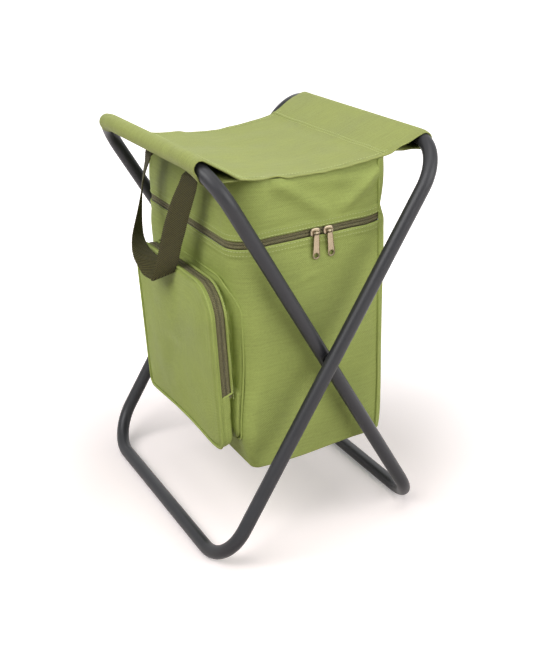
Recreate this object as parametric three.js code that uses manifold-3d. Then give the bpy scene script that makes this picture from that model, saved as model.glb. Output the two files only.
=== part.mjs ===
// Folding stool with a cooler bag hung under its seat.
// Millimetres, +Z up. X runs across the two seat rails and Y from the front (-) to the rear (+).
// The origin is on the floor under the middle of the frame.

import * as THREE from 'three';
import { mergeVertices } from 'three/addons/utils/BufferGeometryUtils.js';
import Module from 'manifold-3d';

const wasm = await Module();
wasm.setup();

// Frame: two loops of bent tube that cross like scissors
const rail_height = 427; // axis of the upper rails above the floor
const rail_spread = 125; // axis of each rail from the middle plane
const outer_loop_depth = 328; // between the axes of the outer loop's legs
const tube_diameter = 15;
const tube_wall = 1;
const leg_gap = 1.5; // between the two tubes at a pivot
const bend_radius = 46; // to the tube's axis
const tube_end_gap = 0.6; // between the two ends of a loop, under the seat sleeve
const spigot_length = 60;
const spigot_wall = 1;

// Pivots
const rivet_radius = 3;
const rivet_play = 0.1;
const rivet_head_radius = 5;
const rivet_head_height = 1.4;
const rivet_flare_radius = 4.2;
const rivet_flare_height = 1;
const spacer_radius = 6;

// Seat
const seat_sag = 21; // from the rails' axes down to the upper face of the seat's middle
const seat_cloth = 1.2;
const seat_overhang = 2; // beyond the bag's front and rear
const seat_seam_margin = 8; // from the bag's side out to the panel's edge
const seat_seam_rise = 6.5; // panel's edge above its middle
const sleeve_lap = 2; // sleeve's seam over the panel's edge
const sleeve_seam_width = 4;

// Bag
const bag_half_width = 80;
const bag_front_room = 11; // from the inner legs to the bag's front
const bag_rear_room = 33; // from the inner legs to the bag's rear
const bag_corner_radius = 30; // left corners; the right corners are piped seams
const bag_floor = 97;
const lid_height = 59; // from the seat's middle down to the zip
const zip_rise_share = 0.09; // the zip climbs to the right by this share of the distance
const left_bulge = 8; // left face outwards at the zip
const left_draw = 8; // left face inwards at the bag's floor
const right_bulge = 5; // right face outwards below the zip
const cloth = 1;
const foam = 4;
const lining = 0.8;
const zip_half_opening = 3.5; // from the coil to the cloth's edge
const tape_lap = 5; // zip tape behind the cloth
const tape_thickness = 1;
const piping_radius = 1.5;
const hinge_gap = 0.8; // between the upper and lower hinge panels
const piping_gap = 2.6; // between the upper and lower corner pipings

// Pocket on the bag's left face
const pocket_front_margin = 10; // from the bag's front
const pocket_rear_margin = 28; // from the bag's rear
const pocket_lift = 25; // from the bag's floor up to the pocket's bottom
const pocket_drop = 47; // from the zip down to the pocket's top
const pocket_thickness = 29;
const pocket_top_radius = 35;
const pocket_bottom_radius = 12;
const pocket_zip_width = 12;
const pocket_zip_inset = 4; // from the pocket's front to the zip
const pocket_zip_end_share = 0.46; // zip's ends up the straight part of the pocket's sides
const pocket_tape = 0.8;
const pocket_piping_radius = 1.3;

// Zip sliders and pulls
const slider_length = 11;
const slider_width = 8;
const slider_thickness = 1.5;
const slider_post_width = 1;
const slider_post_depth = 2.4;
const slider_waist_share = 0.6;
const pin_radius = 0.65;
const pull_eye_bore = 0.95;
const pull_eye_radius = 1.7;
const pull_eye_width = 3.2;
const pull_length = 29;
const pull_width = 7;
const pull_neck = 5.5; // eye's middle to where the pull has its full width
const pull_thickness = 1;
const pull_hole_radius = 1.8;
const left_slider_place = -2;
const right_slider_place = 13;
const pocket_slider_place = 10; // above the lower end of the pocket zip's rear run

// Carrying strap
const strap_width = 25;
const strap_thickness = 1.8;
const strap_sink = 6; // from the seat's middle down to where the hanging loop starts
const strap_inset = 3; // from the pocket's front back to the loop's upper ends
const strap_lean_share = 0.1; // outwards for each millimetre down
const strap_front_place = -53; // from the bag's middle, as the three after it
const strap_rear_place = 58;
const strap_drop = 8; // straight stretch below each end
const strap_bottom_front = 21;
const strap_bottom_rear = 73;
const strap_loop_height = 124; // from the loop's ends down to the axis of its turn
const strap_bend_radius = 20;
const strap_top_radius = 12;

// Shared
const clearance = 0.3; // between touching pieces
const layer_clearance = 0.5; // between the layers of the bag's curved walls
const overrun = 5; // how far a cutter passes what it cuts
const tube_sides = 16;
const round_sides = 24;
const small_sides = 8;
const bend_steps = 7;
const arc_steps = 3; // an arc in an outline has twice as many

// Sizes that follow from those above
const tube_radius = tube_diameter / 2;
const facet_share = Math.cos(Math.PI / tube_sides); // a facet's distance as a share of the radius
const tube_rest = tube_radius * facet_share; // lower rails' axis, with a facet on the floor
const bore_radius = tube_radius - tube_wall;
const inner_loop_depth = outer_loop_depth - 2 * (tube_diameter + leg_gap);
const leg_rise = rail_height - tube_rest;
const leg_length = Math.hypot(2 * rail_spread, leg_rise);
const pivot_height = (rail_height + tube_rest) / 2;
const leg_inside = inner_loop_depth / 2 - tube_radius;
const bag_front = -leg_inside + bag_front_room;
const bag_rear = leg_inside - bag_rear_room;
const bag_middle = (bag_front + bag_rear) / 2;
const seat_front = bag_front - seat_overhang;
const seat_rear = bag_rear + seat_overhang;
const seat_seam_spread = bag_half_width + seat_seam_margin;
const seat_flat_height = rail_height - seat_sag;
const seat_flat_spread = bag_half_width - bag_corner_radius;
const seat_slope_share = seat_seam_rise / (seat_seam_spread - seat_flat_spread);
const bag_top = seat_flat_height - seat_cloth - clearance;
const zip_height = seat_flat_height - lid_height;
const pocket_bottom = bag_floor + pocket_lift;
const pocket_top = zip_height - pocket_drop;
const strap_height = seat_flat_height - strap_sink;
const strap_reach = bag_half_width + pocket_thickness - strap_inset;
const strap_bottom_height = strap_height - strap_loop_height;
const skin = cloth + layer_clearance; // from the bag's outer face to what lies behind the cloth
const foam_inner = skin + foam + layer_clearance;
const foam_top = zip_height - zip_half_opening - tape_lap - clearance;
const pin_reach = clearance + slider_thickness + clearance + pull_eye_radius;

// Materials
const paint = { color: '#4e4e52', roughness: 0.45, metalness: 0.3 };
const steel = { color: '#9a9a98', roughness: 0.35, metalness: 0.9 };
const nylon = { color: '#1b1b1c', roughness: 0.6, metalness: 0 };
const polyester = { color: '#9ba35c', roughness: 0.85, metalness: 0 };
const seat_polyester = { color: '#aab468', roughness: 0.85, metalness: 0 };
const webbing = { color: '#4b4832', roughness: 0.9, metalness: 0 };
const tape = { color: '#6e694b', roughness: 0.8, metalness: 0 };
const nickel = { color: '#dcc8af', roughness: 0.25, metalness: 0.9 };
const foam_sheet = { color: '#e9e9e4', roughness: 0.9, metalness: 0 };
const liner_film = { color: '#c9ccd0', roughness: 0.35, metalness: 0.2 };

const stool = new THREE.Group();

function add(name, geometry, finish) {
  const mesh = new THREE.Mesh(geometry, new THREE.MeshStandardMaterial(finish));
  mesh.name = name;
  stool.add(mesh);
}

// Booleans
function solid(geometry) {
  const bare = geometry.clone();
  bare.deleteAttribute('normal');
  bare.deleteAttribute('uv');
  const merged = mergeVertices(bare);
  const vertProperties = new Float32Array(merged.attributes.position.array);
  const triVerts = new Uint32Array(merged.index.array);
  return new wasm.Manifold(new wasm.Mesh({ numProp: 3, vertProperties, triVerts }));
}

function surface(body) {
  const mesh = body.getMesh();
  const geometry = new THREE.BufferGeometry();
  geometry.setAttribute('position', new THREE.BufferAttribute(mesh.vertProperties, 3));
  geometry.setIndex(new THREE.BufferAttribute(mesh.triVerts, 1));
  return geometry;
}

function joined(...geometries) {
  return surface(geometries.map(solid).reduce((whole, piece) => whole.add(piece)));
}

function cut(geometry, ...cutters) {
  return surface(cutters.map(solid).reduce((rest, cutter) => rest.subtract(cutter), solid(geometry)));
}

// Plain shapes
function box(low, high) {
  const size = high.map((value, axis) => value - low[axis]);
  const middle = high.map((value, axis) => (value + low[axis]) / 2);
  return new THREE.BoxGeometry(...size).translate(...middle);
}

function prism(shape, low, high) {
  const options = { depth: high - low, bevelEnabled: false, curveSegments: arc_steps };
  return new THREE.ExtrudeGeometry(shape, options).translate(0, 0, low);
}

// A shape drawn in Y and Z, thick along X
function prismAlongX(shape, low, high) {
  const turn = new THREE.Matrix4().makeBasis(
    new THREE.Vector3(0, 1, 0),
    new THREE.Vector3(0, 0, 1),
    new THREE.Vector3(1, 0, 0),
  );
  return prism(shape, low, high).applyMatrix4(turn);
}

// A shape drawn in X and Z, thick along Y
function prismAlongY(shape, low, high) {
  return prism(shape, -high, -low).rotateX(Math.PI / 2);
}

function rodAlongX(radius, length, sides) {
  return new THREE.CylinderGeometry(radius, radius, length, sides).rotateZ(Math.PI / 2);
}

function outline(points) {
  return new THREE.Shape(points.map(([a, b]) => new THREE.Vector2(a, b)));
}

function polygon(radius, sides, facet_angle) {
  const step = (2 * Math.PI) / sides;
  return Array.from({ length: sides }, (_, index) => {
    const angle = facet_angle + (index + 0.5) * step;
    return [radius * Math.cos(angle), radius * Math.sin(angle)];
  });
}

// A route of rings in one plane. The section's second axis is the plane's normal.
class RingRoute extends THREE.Curve {
  constructor(rings, normal) {
    super();
    this.rings = rings;
    this.normal = normal;
  }

  getPoint(t) {
    return this.rings[Math.round(t * (this.rings.length - 1))].place.clone();
  }

  getSpacedPoints() {
    return this.rings.map((ring) => ring.place.clone());
  }

  computeFrenetFrames() {
    const tangents = this.rings.map((ring) => ring.tangent);
    const normals = tangents.map((tangent) => this.normal.clone().cross(tangent).normalize());
    const binormals = tangents.map(() => this.normal.clone());
    return { tangents, normals, binormals };
  }
}

// Rings along straight runs whose corners are rounded. Corners are [a, b, radius], and the route
// goes straight on through one without a radius.
function routeRings(corners, lift) {
  const flat = corners.map(([a, b]) => new THREE.Vector2(a, b));
  const rings = [];
  const addRing = (point, direction) => {
    const place = lift(point.x, point.y);
    const ahead = lift(point.x + direction.x, point.y + direction.y);
    rings.push({ place, tangent: ahead.sub(place).normalize() });
  };
  const heading = (index) => flat[index + 1].clone().sub(flat[index]).normalize();
  addRing(flat[0], heading(0));
  for (let index = 1; index < flat.length - 1; index += 1) {
    const arriving = heading(index - 1);
    const leaving = heading(index);
    const turn = Math.atan2(arriving.cross(leaving), arriving.dot(leaving));
    const radius = corners[index][2];
    const start = flat[index].clone().addScaledVector(arriving, -radius * Math.tan(Math.abs(turn) / 2));
    const inward = new THREE.Vector2(-arriving.y, arriving.x).multiplyScalar(Math.sign(turn) * radius);
    const centre = start.clone().add(inward);
    const steps = radius > 0 ? bend_steps : 0;
    for (let step = 0; step <= steps; step += 1) {
      const angle = steps > 0 ? (turn * step) / steps : 0;
      addRing(start.clone().rotateAround(centre, angle), arriving.clone().rotateAround(new THREE.Vector2(), angle));
    }
  }
  addRing(flat[flat.length - 1], heading(flat.length - 2));
  return rings;
}

function sweep(section, rings, normal) {
  const extrudePath = new RingRoute(rings, normal);
  return new THREE.ExtrudeGeometry(section, { steps: rings.length - 1, extrudePath });
}

// Frame. A side of -1 has its upper rail on the left, and 1 on the right.
function legDirection(side) {
  return new THREE.Vector3(-side * 2 * rail_spread, 0, -leg_rise).divideScalar(leg_length);
}

function loopRings(side, depth) {
  const down = legDirection(side);
  const half = depth / 2;
  const lift = (along, across) => new THREE.Vector3(side * rail_spread, across, rail_height)
    .addScaledVector(down, along);
  const corners = [
    [0, tube_end_gap / 2, 0],
    [0, half, bend_radius],
    [leg_length, half, bend_radius],
    [leg_length, -half, bend_radius],
    [0, -half, bend_radius],
    [0, -tube_end_gap / 2, 0],
  ];
  return routeRings(corners, lift);
}

function loopNormal(side) {
  return legDirection(side).cross(new THREE.Vector3(0, 1, 0)).normalize();
}

// The section is turned so that one facet of the lower rail lies flat on the floor.
function floorFacet(side) {
  const normal = loopNormal(side);
  const across = normal.clone().cross(new THREE.Vector3(0, -1, 0));
  return Math.atan2(-normal.z, -across.z);
}

function frameTube(side, depth) {
  const facet = floorFacet(side);
  const section = outline(polygon(tube_radius, tube_sides, facet));
  section.holes.push(outline(polygon(bore_radius, tube_sides, facet)));
  return sweep(section, loopRings(side, depth), loopNormal(side));
}

function tubeRoom(side, depth) {
  const section = outline(polygon((tube_radius + clearance) / facet_share, tube_sides, floorFacet(side)));
  return sweep(section, loopRings(side, depth), loopNormal(side));
}

function frameSpigot(side) {
  const radius = bore_radius * facet_share - clearance;
  const section = outline(polygon(radius, tube_sides, 0));
  section.holes.push(outline(polygon(radius - spigot_wall, tube_sides, 0)));
  return prismAlongY(section, -spigot_length / 2, spigot_length / 2)
    .translate(side * rail_spread, 0, rail_height);
}

// A rod or cutter along the pivot axis, between two distances from the middle plane
function pivotRod(radius, near, far) {
  const rod = new THREE.CylinderGeometry(radius, radius, far - near, round_sides);
  return rod.translate(0, (near + far) / 2, 0).translate(0, 0, pivot_height);
}

function pivotHoles(near, far) {
  const radius = rivet_radius + rivet_play;
  return [pivotRod(radius, near, far), pivotRod(radius, -far, -near)];
}

// The rivet's head is on the bag's side; its flare is inside the outer leg, which stays plain outside.
function pivotRivet(side) {
  const inner_leg = inner_loop_depth / 2;
  const outer_leg = outer_loop_depth / 2;
  const head_seat = inner_leg - tube_radius - clearance;
  const flare_end = outer_leg - Math.sqrt(bore_radius ** 2 - rivet_flare_radius ** 2) + 2 * clearance;
  const profile = [
    [0, head_seat - rivet_head_height],
    [rivet_head_radius / 2, head_seat - rivet_head_height],
    [rivet_head_radius, head_seat - rivet_head_height / 2],
    [rivet_head_radius, head_seat],
    [rivet_radius, head_seat],
    [rivet_radius, flare_end],
    [rivet_flare_radius, flare_end],
    [rivet_flare_radius, flare_end + rivet_flare_height],
    [0, flare_end + rivet_flare_height],
  ];
  const lathe = new THREE.LatheGeometry(profile.map(([r, y]) => new THREE.Vector2(r, y)), round_sides);
  return lathe.rotateX(side > 0 ? 0 : Math.PI).translate(0, 0, pivot_height);
}

function pivotSpacer(side) {
  const near = inner_loop_depth / 2 + tube_radius + clearance;
  const far = near + leg_gap - 2 * clearance;
  const [low, high] = side > 0 ? [near, far] : [-far, -near];
  const disc = pivotRod(spacer_radius, low, high);
  return cut(disc, pivotRod(rivet_radius + rivet_play, low - overrun, high + overrun));
}

function addFrame() {
  const inner_leg = inner_loop_depth / 2;
  const outer_leg = outer_loop_depth / 2;
  const outer_holes = pivotHoles(inner_leg, outer_leg);
  const inner_holes = pivotHoles(inner_leg - tube_radius - overrun, outer_leg - tube_radius);
  add('outer_frame_tube', cut(frameTube(1, outer_loop_depth), ...outer_holes), paint);
  add('inner_frame_tube', cut(frameTube(-1, inner_loop_depth), ...inner_holes), paint);
  add('outer_frame_spigot', frameSpigot(1), steel);
  add('inner_frame_spigot', frameSpigot(-1), steel);
  add('front_pivot_rivet', pivotRivet(-1), steel);
  add('rear_pivot_rivet', pivotRivet(1), steel);
  add('front_pivot_spacer', pivotSpacer(-1), nylon);
  add('rear_pivot_spacer', pivotSpacer(1), nylon);
}

// Seat
function seatRise(x) {
  return Math.max(0, Math.abs(x) - seat_flat_spread) * seat_slope_share;
}

function seatProfile(top, thickness, spread) {
  const stations = [-spread, -seat_flat_spread, seat_flat_spread, spread];
  const upper = stations.map((x) => [x, top + seatRise(x)]);
  const lower = stations.map((x) => [x, top - thickness + seatRise(x)]).reverse();
  return outline([...upper, ...lower]);
}

// Where a line from a point touches a circle; turn is 1 for its upper side and -1 for its lower
function touchPoint(from, centre, radius, turn) {
  const reach = from.clone().sub(centre);
  const spread = Math.acos(radius / reach.length());
  return reach.setLength(radius).rotateAround(new THREE.Vector2(), turn * spread).add(centre);
}

// Points from the upper sheet's corner round the rail to the lower sheet's corner
function loopOfCloth(lower, upper, rail, radius) {
  const from = touchPoint(upper, rail, radius, 1).sub(rail).angle();
  const to = touchPoint(lower, rail, radius, -1).sub(rail).angle();
  const wrap = (to - from + 2 * Math.PI) % (2 * Math.PI);
  const arc = Array.from({ length: tube_sides + 1 }, (_, index) => {
    const angle = from + (wrap * index) / tube_sides;
    return [rail.x + radius * Math.cos(angle), rail.y + radius * Math.sin(angle)];
  });
  return [[upper.x, upper.y], ...arc, [lower.x, lower.y]];
}

// The left sleeve's section: a loop of cloth round the rail, sewn to itself over the panel's edge
function sleeveSection() {
  const rail = new THREE.Vector2(-rail_spread, rail_height);
  const seam = -seat_seam_spread + sleeve_lap;
  const base = seat_flat_height + seatRise(seam) + clearance;
  const inner_radius = (tube_radius + clearance) / facet_share;
  const outer_radius = inner_radius + seat_cloth;
  const lower = new THREE.Vector2(seam, base);
  const upper = new THREE.Vector2(seam, base + 2 * seat_cloth);
  const back = (point, turn) => {
    const run = touchPoint(point, rail, outer_radius, turn).sub(point).normalize();
    const inward = new THREE.Vector2(-run.y, run.x).multiplyScalar(turn * seat_cloth);
    return point.clone().addScaledVector(run, sleeve_seam_width).add(inward);
  };
  const section = outline(loopOfCloth(lower, upper, rail, outer_radius));
  section.holes.push(outline(loopOfCloth(back(lower, -1), back(upper, 1), rail, inner_radius)));
  return section;
}

function seatSleeve(side) {
  const left = prismAlongY(sleeveSection(), seat_front, seat_rear);
  const mirrored = left.clone().rotateZ(Math.PI).translate(0, 2 * bag_middle, 0);
  const depth = side > 0 ? outer_loop_depth : inner_loop_depth;
  return cut(side > 0 ? mirrored : left, tubeRoom(side, depth));
}

function addSeat() {
  const panel = seatProfile(seat_flat_height, seat_cloth, seat_seam_spread);
  add('left_seat_sleeve', seatSleeve(-1), seat_polyester);
  add('right_seat_sleeve', seatSleeve(1), seat_polyester);
  add('seat_panel', prismAlongY(panel, seat_front, seat_rear), seat_polyester);
}

// Bag. It is drawn upright and square, and hang() carries it to the form it has when hung.
function between(value, low, high) {
  return Math.min(1, Math.max(0, (value - low) / (high - low)));
}

function hangPoint(x, y, z) {
  const above = between(z, zip_height, bag_top);
  const below = 1 - between(z, bag_floor, zip_height);
  const lean = left_bulge * (1 - above) - (left_bulge + left_draw) * below;
  const left_share = Math.min(1, Math.max(0, -x / bag_half_width));
  const right_share = between(x, seat_flat_spread, bag_half_width);
  const swell = right_bulge * (1 - above) * right_share;
  const tilt = zip_rise_share * x * (1 - above) * (1 - below);
  return [x - lean * left_share + swell, y, z + tilt + seatRise(x) * above];
}

function hang(geometry) {
  const places = geometry.attributes.position;
  for (let index = 0; index < places.count; index += 1) {
    places.setXYZ(index, ...hangPoint(places.getX(index), places.getY(index), places.getZ(index)));
  }
  return geometry;
}

const strip_end = bag_half_width - skin; // right ends of the strips that go round the bag

// Plan of the whole bag, drawn in from its outer face
function bagPlan(inset) {
  const right = bag_half_width - inset;
  const radius = bag_corner_radius - inset;
  const centre = -bag_half_width + bag_corner_radius;
  const front = bag_front + inset;
  const rear = bag_rear - inset;
  const shape = new THREE.Shape();
  shape.moveTo(right, front);
  shape.lineTo(right, rear);
  shape.absarc(centre, rear - radius, radius, Math.PI / 2, Math.PI, false);
  shape.absarc(centre, front + radius, radius, Math.PI, 1.5 * Math.PI, false);
  return shape;
}

// A strip of cloth round the rear, left and front, between two depths from the outer face
function strip(outer, inner, low, high) {
  const rear = bag_rear - outer;
  const front = bag_front + outer;
  const left = -bag_half_width + outer;
  const corners = [
    [strip_end, rear, 0],
    [seat_flat_spread, rear, 0],
    [left, rear, bag_corner_radius - outer],
    [left, front, bag_corner_radius - outer],
    [seat_flat_spread, front, 0],
    [strip_end, front, 0],
  ];
  const lift = (x, y) => new THREE.Vector3(x, y, 0);
  const section = outline([[0, low], [inner - outer, low], [inner - outer, high], [0, high]]);
  return hang(sweep(section, routeRings(corners, lift), new THREE.Vector3(0, 0, 1)));
}

function cornerPiping(end, low, high) {
  const offset = (piping_radius + clearance) / Math.SQRT2 + clearance / 2;
  const corner = end > 0 ? bag_rear + offset : bag_front - offset;
  const rod = prism(outline(polygon(piping_radius, small_sides, 0)), low, high);
  return hang(rod.translate(bag_half_width + offset, corner, 0));
}

function addLid() {
  const skirt_bottom = zip_height + zip_half_opening;
  const tape_top = skirt_bottom + tape_lap;
  const hinge_bottom = zip_height + hinge_gap / 2;
  const piping_bottom = zip_height + piping_gap / 2;
  const panel_low = [bag_half_width - cloth, bag_front, hinge_bottom];
  const panel_high = [bag_half_width, bag_rear, bag_top];
  const pad_spread = bag_half_width - skin;
  const pad_front = bag_front + skin;
  const pad_rear = bag_rear - skin;
  const plan = prism(bagPlan(skin), zip_height, rail_height);
  const lining_top = bag_top - foam - clearance;
  const pad = (top, thickness) => {
    const slab = prismAlongY(seatProfile(top, thickness, pad_spread), pad_front, pad_rear);
    return surface(solid(slab).intersect(solid(plan)));
  };
  add('lid_skirt', strip(0, cloth, skirt_bottom, bag_top), polyester);
  add('upper_hinge_panel', hang(box(panel_low, panel_high)), polyester);
  add('lid_foam', pad(bag_top, foam), foam_sheet);
  add('lid_lining', pad(lining_top, lining), liner_film);
  add('upper_zip_tape', strip(skin, skin + tape_thickness, zip_height + clearance / 2, tape_top), tape);
  add('upper_front_piping', cornerPiping(-1, piping_bottom, bag_top), polyester);
  add('upper_rear_piping', cornerPiping(1, piping_bottom, bag_top), polyester);
}

function addCooler() {
  const wall_top = zip_height - zip_half_opening;
  const wall_bottom = bag_floor + skin;
  const liner_bottom = wall_bottom + foam + clearance;
  const liner_top = zip_height - cloth;
  const hinge_top = zip_height - hinge_gap / 2;
  const piping_top = zip_height - piping_gap / 2;
  const tape_bottom = wall_top - tape_lap;
  const panel_low = [bag_half_width - cloth, bag_front, wall_bottom];
  const panel_high = [bag_half_width, bag_rear, hinge_top];
  const foam_low = [bag_half_width - skin - foam, bag_front + foam_inner, wall_bottom];
  const foam_high = [bag_half_width - skin, bag_rear - foam_inner, foam_top];
  const liner_body = prism(bagPlan(foam_inner), liner_bottom, liner_top);
  const liner_room = prism(bagPlan(foam_inner + lining), liner_bottom + lining, liner_top + overrun);
  add('wall_panel', strip(0, cloth, wall_bottom, wall_top), polyester);
  add('lower_hinge_panel', hang(box(panel_low, panel_high)), polyester);
  add('bag_base', hang(prism(bagPlan(0), bag_floor, bag_floor + cloth)), polyester);
  add('wall_foam', strip(skin, skin + foam, wall_bottom, foam_top), foam_sheet);
  add('hinge_foam', hang(box(foam_low, foam_high)), foam_sheet);
  add('base_foam', hang(prism(bagPlan(foam_inner), wall_bottom, wall_bottom + foam)), foam_sheet);
  add('cooler_liner', hang(cut(liner_body, liner_room)), liner_film);
  add('lower_zip_tape', strip(skin, skin + tape_thickness, tape_bottom, zip_height - clearance / 2), tape);
  add('lower_front_piping', cornerPiping(-1, wall_bottom, piping_top), polyester);
  add('lower_rear_piping', cornerPiping(1, wall_bottom, piping_top), polyester);
}

// Pocket
const pocket_front_edge = bag_front + pocket_front_margin;
const pocket_rear_edge = bag_rear - pocket_rear_margin;
const pocket_face = -bag_half_width - pocket_thickness; // outer face of the pocket's front

// The pocket's outline in Y and Z, drawn in by an inset or out by a negative one
function pocketShape(inset) {
  const front = pocket_front_edge + inset;
  const rear = pocket_rear_edge - inset;
  const low = pocket_bottom + inset;
  const high = pocket_top - inset;
  const upper = pocket_top_radius - inset;
  const lower = pocket_bottom_radius - inset;
  const shape = new THREE.Shape();
  shape.absarc(rear - lower, low + lower, lower, -Math.PI / 2, 0, false);
  shape.absarc(rear - upper, high - upper, upper, 0, Math.PI / 2, false);
  shape.absarc(front + upper, high - upper, upper, Math.PI / 2, Math.PI, false);
  shape.absarc(front + lower, low + lower, lower, Math.PI, 1.5 * Math.PI, false);
  return shape;
}

function pocketZipEnd() {
  const straight_bottom = pocket_bottom + pocket_bottom_radius;
  const straight_top = pocket_top - pocket_top_radius;
  return straight_bottom + (straight_top - straight_bottom) * pocket_zip_end_share;
}

function pocketTape() {
  const low = pocketZipEnd();
  const centre_height = pocket_top - pocket_top_radius;
  const front_centre = pocket_front_edge + pocket_top_radius;
  const rear_centre = pocket_rear_edge - pocket_top_radius;
  const big = pocket_top_radius + clearance + pocket_tape;
  const small = pocket_top_radius + clearance;
  const shape = new THREE.Shape();
  shape.moveTo(rear_centre + big, low);
  shape.absarc(rear_centre, centre_height, big, 0, Math.PI / 2, false);
  shape.absarc(front_centre, centre_height, big, Math.PI / 2, Math.PI, false);
  shape.lineTo(front_centre - big, low);
  shape.lineTo(front_centre - small, low);
  shape.absarc(front_centre, centre_height, small, Math.PI, Math.PI / 2, true);
  shape.absarc(rear_centre, centre_height, small, Math.PI / 2, 0, true);
  shape.lineTo(rear_centre + small, low);
  const face = pocket_face + pocket_zip_inset;
  return hang(prismAlongX(shape, face, face + pocket_zip_width));
}

function pocketPiping() {
  const offset = pocket_piping_radius + clearance;
  const middle = (pocket_front_edge + pocket_rear_edge) / 2;
  const half = pocket_rear_edge + offset - middle;
  const low = pocket_bottom - offset;
  const high = pocket_top + offset;
  const upper = pocket_top_radius + offset;
  const lower = pocket_bottom_radius + offset;
  const corners = [
    [clearance, low, 0],
    [half, low, lower],
    [half, high, upper],
    [-half, high, upper],
    [-half, low, lower],
    [-clearance, low, 0],
  ];
  const middle_x = pocket_face + pocket_piping_radius;
  const lift = (across, up) => new THREE.Vector3(middle_x, middle + across, up);
  const section = outline(polygon(pocket_piping_radius, small_sides, 0));
  return hang(sweep(section, routeRings(corners, lift), new THREE.Vector3(1, 0, 0)));
}

function addPocket() {
  const gusset = pocketShape(0);
  gusset.holes.push(pocketShape(cloth));
  const gusset_front = pocket_face + cloth + clearance;
  const gusset_back = -bag_half_width - clearance;
  add('pocket_front', hang(prismAlongX(pocketShape(0), pocket_face, pocket_face + cloth)), polyester);
  add('pocket_gusset', hang(prismAlongX(gusset, gusset_front, gusset_back)), polyester);
  add('pocket_piping', pocketPiping(), polyester);
  add('pocket_zip_tape', pocketTape(), tape);
}

// Zip slider. Its back is at Y 0, it faces -Y, and its pin lies along X.
function zipSlider(length, height) {
  const waist = height * slider_waist_share;
  const plate = outline([
    [-length / 2, -waist / 2],
    [0, -height / 2],
    [length / 2, -waist / 2],
    [length / 2, waist / 2],
    [0, height / 2],
    [-length / 2, waist / 2],
  ]);
  const back = -clearance;
  const front = back - slider_thickness;
  const post_inner = pull_eye_width / 2 + clearance;
  const post_outer = post_inner + slider_post_width;
  const post = (side) => {
    const [low, high] = side > 0 ? [post_inner, post_outer] : [-post_outer, -post_inner];
    const sink = clearance;
    return box(
      [low, -pin_reach - pin_radius, -slider_post_depth / 2],
      [high, front + sink, slider_post_depth / 2],
    );
  };
  const pin = rodAlongX(pin_radius, 2 * post_inner + slider_post_width, small_sides).translate(0, -pin_reach, 0);
  return joined(prismAlongY(plate, front, back), post(-1), post(1), pin);
}

// Pull hanging from the slider's pin
function zipPull() {
  const neck = pull_eye_width / 2;
  const half = pull_width / 2;
  const end_centre = half - pull_length;
  const shape = new THREE.Shape();
  shape.moveTo(-neck, 0);
  shape.lineTo(-neck, -pull_eye_radius - clearance);
  shape.lineTo(-half, -pull_neck);
  shape.absarc(0, end_centre, half, Math.PI, 2 * Math.PI, false);
  shape.lineTo(half, -pull_neck);
  shape.lineTo(neck, -pull_eye_radius - clearance);
  shape.lineTo(neck, 0);
  const hole = new THREE.Path();
  hole.absarc(0, end_centre, pull_hole_radius, 0, 2 * Math.PI, false);
  shape.holes.push(hole);
  const plate = prismAlongY(shape, -pull_thickness / 2, pull_thickness / 2);
  const eye = rodAlongX(pull_eye_radius, pull_eye_width, tube_sides);
  const bore = rodAlongX(pull_eye_bore, pull_eye_width + overrun, small_sides);
  return cut(joined(plate, eye), bore).translate(0, -pin_reach, 0);
}

function addMainSlider(side, place) {
  const [x, y, z] = hangPoint(place, bag_front, zip_height);
  add(`${side}_zip_slider`, zipSlider(slider_length, slider_width).translate(x, y, z), nickel);
  add(`${side}_zip_pull`, zipPull().translate(x, y, z), nickel);
}

// The pocket's slider is parked at the bottom of the rear run and faces the rear.
function addPocketSlider() {
  const run_x = pocket_face + pocket_zip_inset + pocket_zip_width / 2;
  const run_y = pocket_rear_edge + clearance + pocket_tape;
  const run_z = pocketZipEnd() + pocket_slider_place;
  const place = hangPoint(run_x, run_y, run_z);
  const turned = (geometry) => geometry.rotateZ(Math.PI).translate(...place);
  add('pocket_zip_slider', turned(zipSlider(slider_width, slider_length)), nickel);
  add('pocket_zip_pull', turned(zipPull()), nickel);
}

// Strap. The loop hangs in a plane that leans outwards; its ends lie under the seat cloth.
function strapLoop() {
  const lift = (across, up) => {
    const x = -strap_reach - strap_lean_share * (strap_height - up);
    return new THREE.Vector3(x, bag_middle + across, up);
  };
  const corners = [
    [strap_front_place, strap_height, 0],
    [strap_front_place, strap_height - strap_drop, strap_top_radius],
    [strap_bottom_front, strap_bottom_height, strap_bend_radius],
    [strap_bottom_rear, strap_bottom_height, strap_bend_radius],
    [strap_rear_place, strap_height - strap_drop, strap_top_radius],
    [strap_rear_place, strap_height, 0],
  ];
  const half = strap_width / 2;
  const thin = strap_thickness / 2;
  const section = outline([[-half, -thin], [half, -thin], [half, thin], [-half, thin]]);
  return sweep(section, routeRings(corners, lift), new THREE.Vector3(1, 0, -strap_lean_share).normalize());
}

function strapAnchor(place) {
  const front = bag_middle + place - strap_width / 2;
  const bottom = strap_height + clearance;
  const outer = -strap_reach - strap_thickness / 2;
  const skirt = hangPoint(-bag_half_width, front, bottom - seatRise(bag_half_width))[0];
  const inner = skirt - clearance;
  return box([outer, front, bottom], [inner, front + strap_width, bottom + strap_thickness]);
}

function addStrap() {
  add('strap_front_anchor', strapAnchor(strap_front_place), webbing);
  add('strap_rear_anchor', strapAnchor(strap_rear_place), webbing);
  add('carry_strap', strapLoop(), webbing);
}

addFrame();
addSeat();
addLid();
addCooler();
addPocket();
addMainSlider('left', left_slider_place);
addMainSlider('right', right_slider_place);
addPocketSlider();
addStrap();

export default stool;
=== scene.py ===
"""Folding stool with a cooler bag under its seat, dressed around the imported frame.

Lengths in the code are millimetres and become metres where a mesh is made. The sizes in the
properties and in the materials are metres. X runs across the two rails, Y from the front to
the rear, and Z up from the floor.
"""

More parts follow.
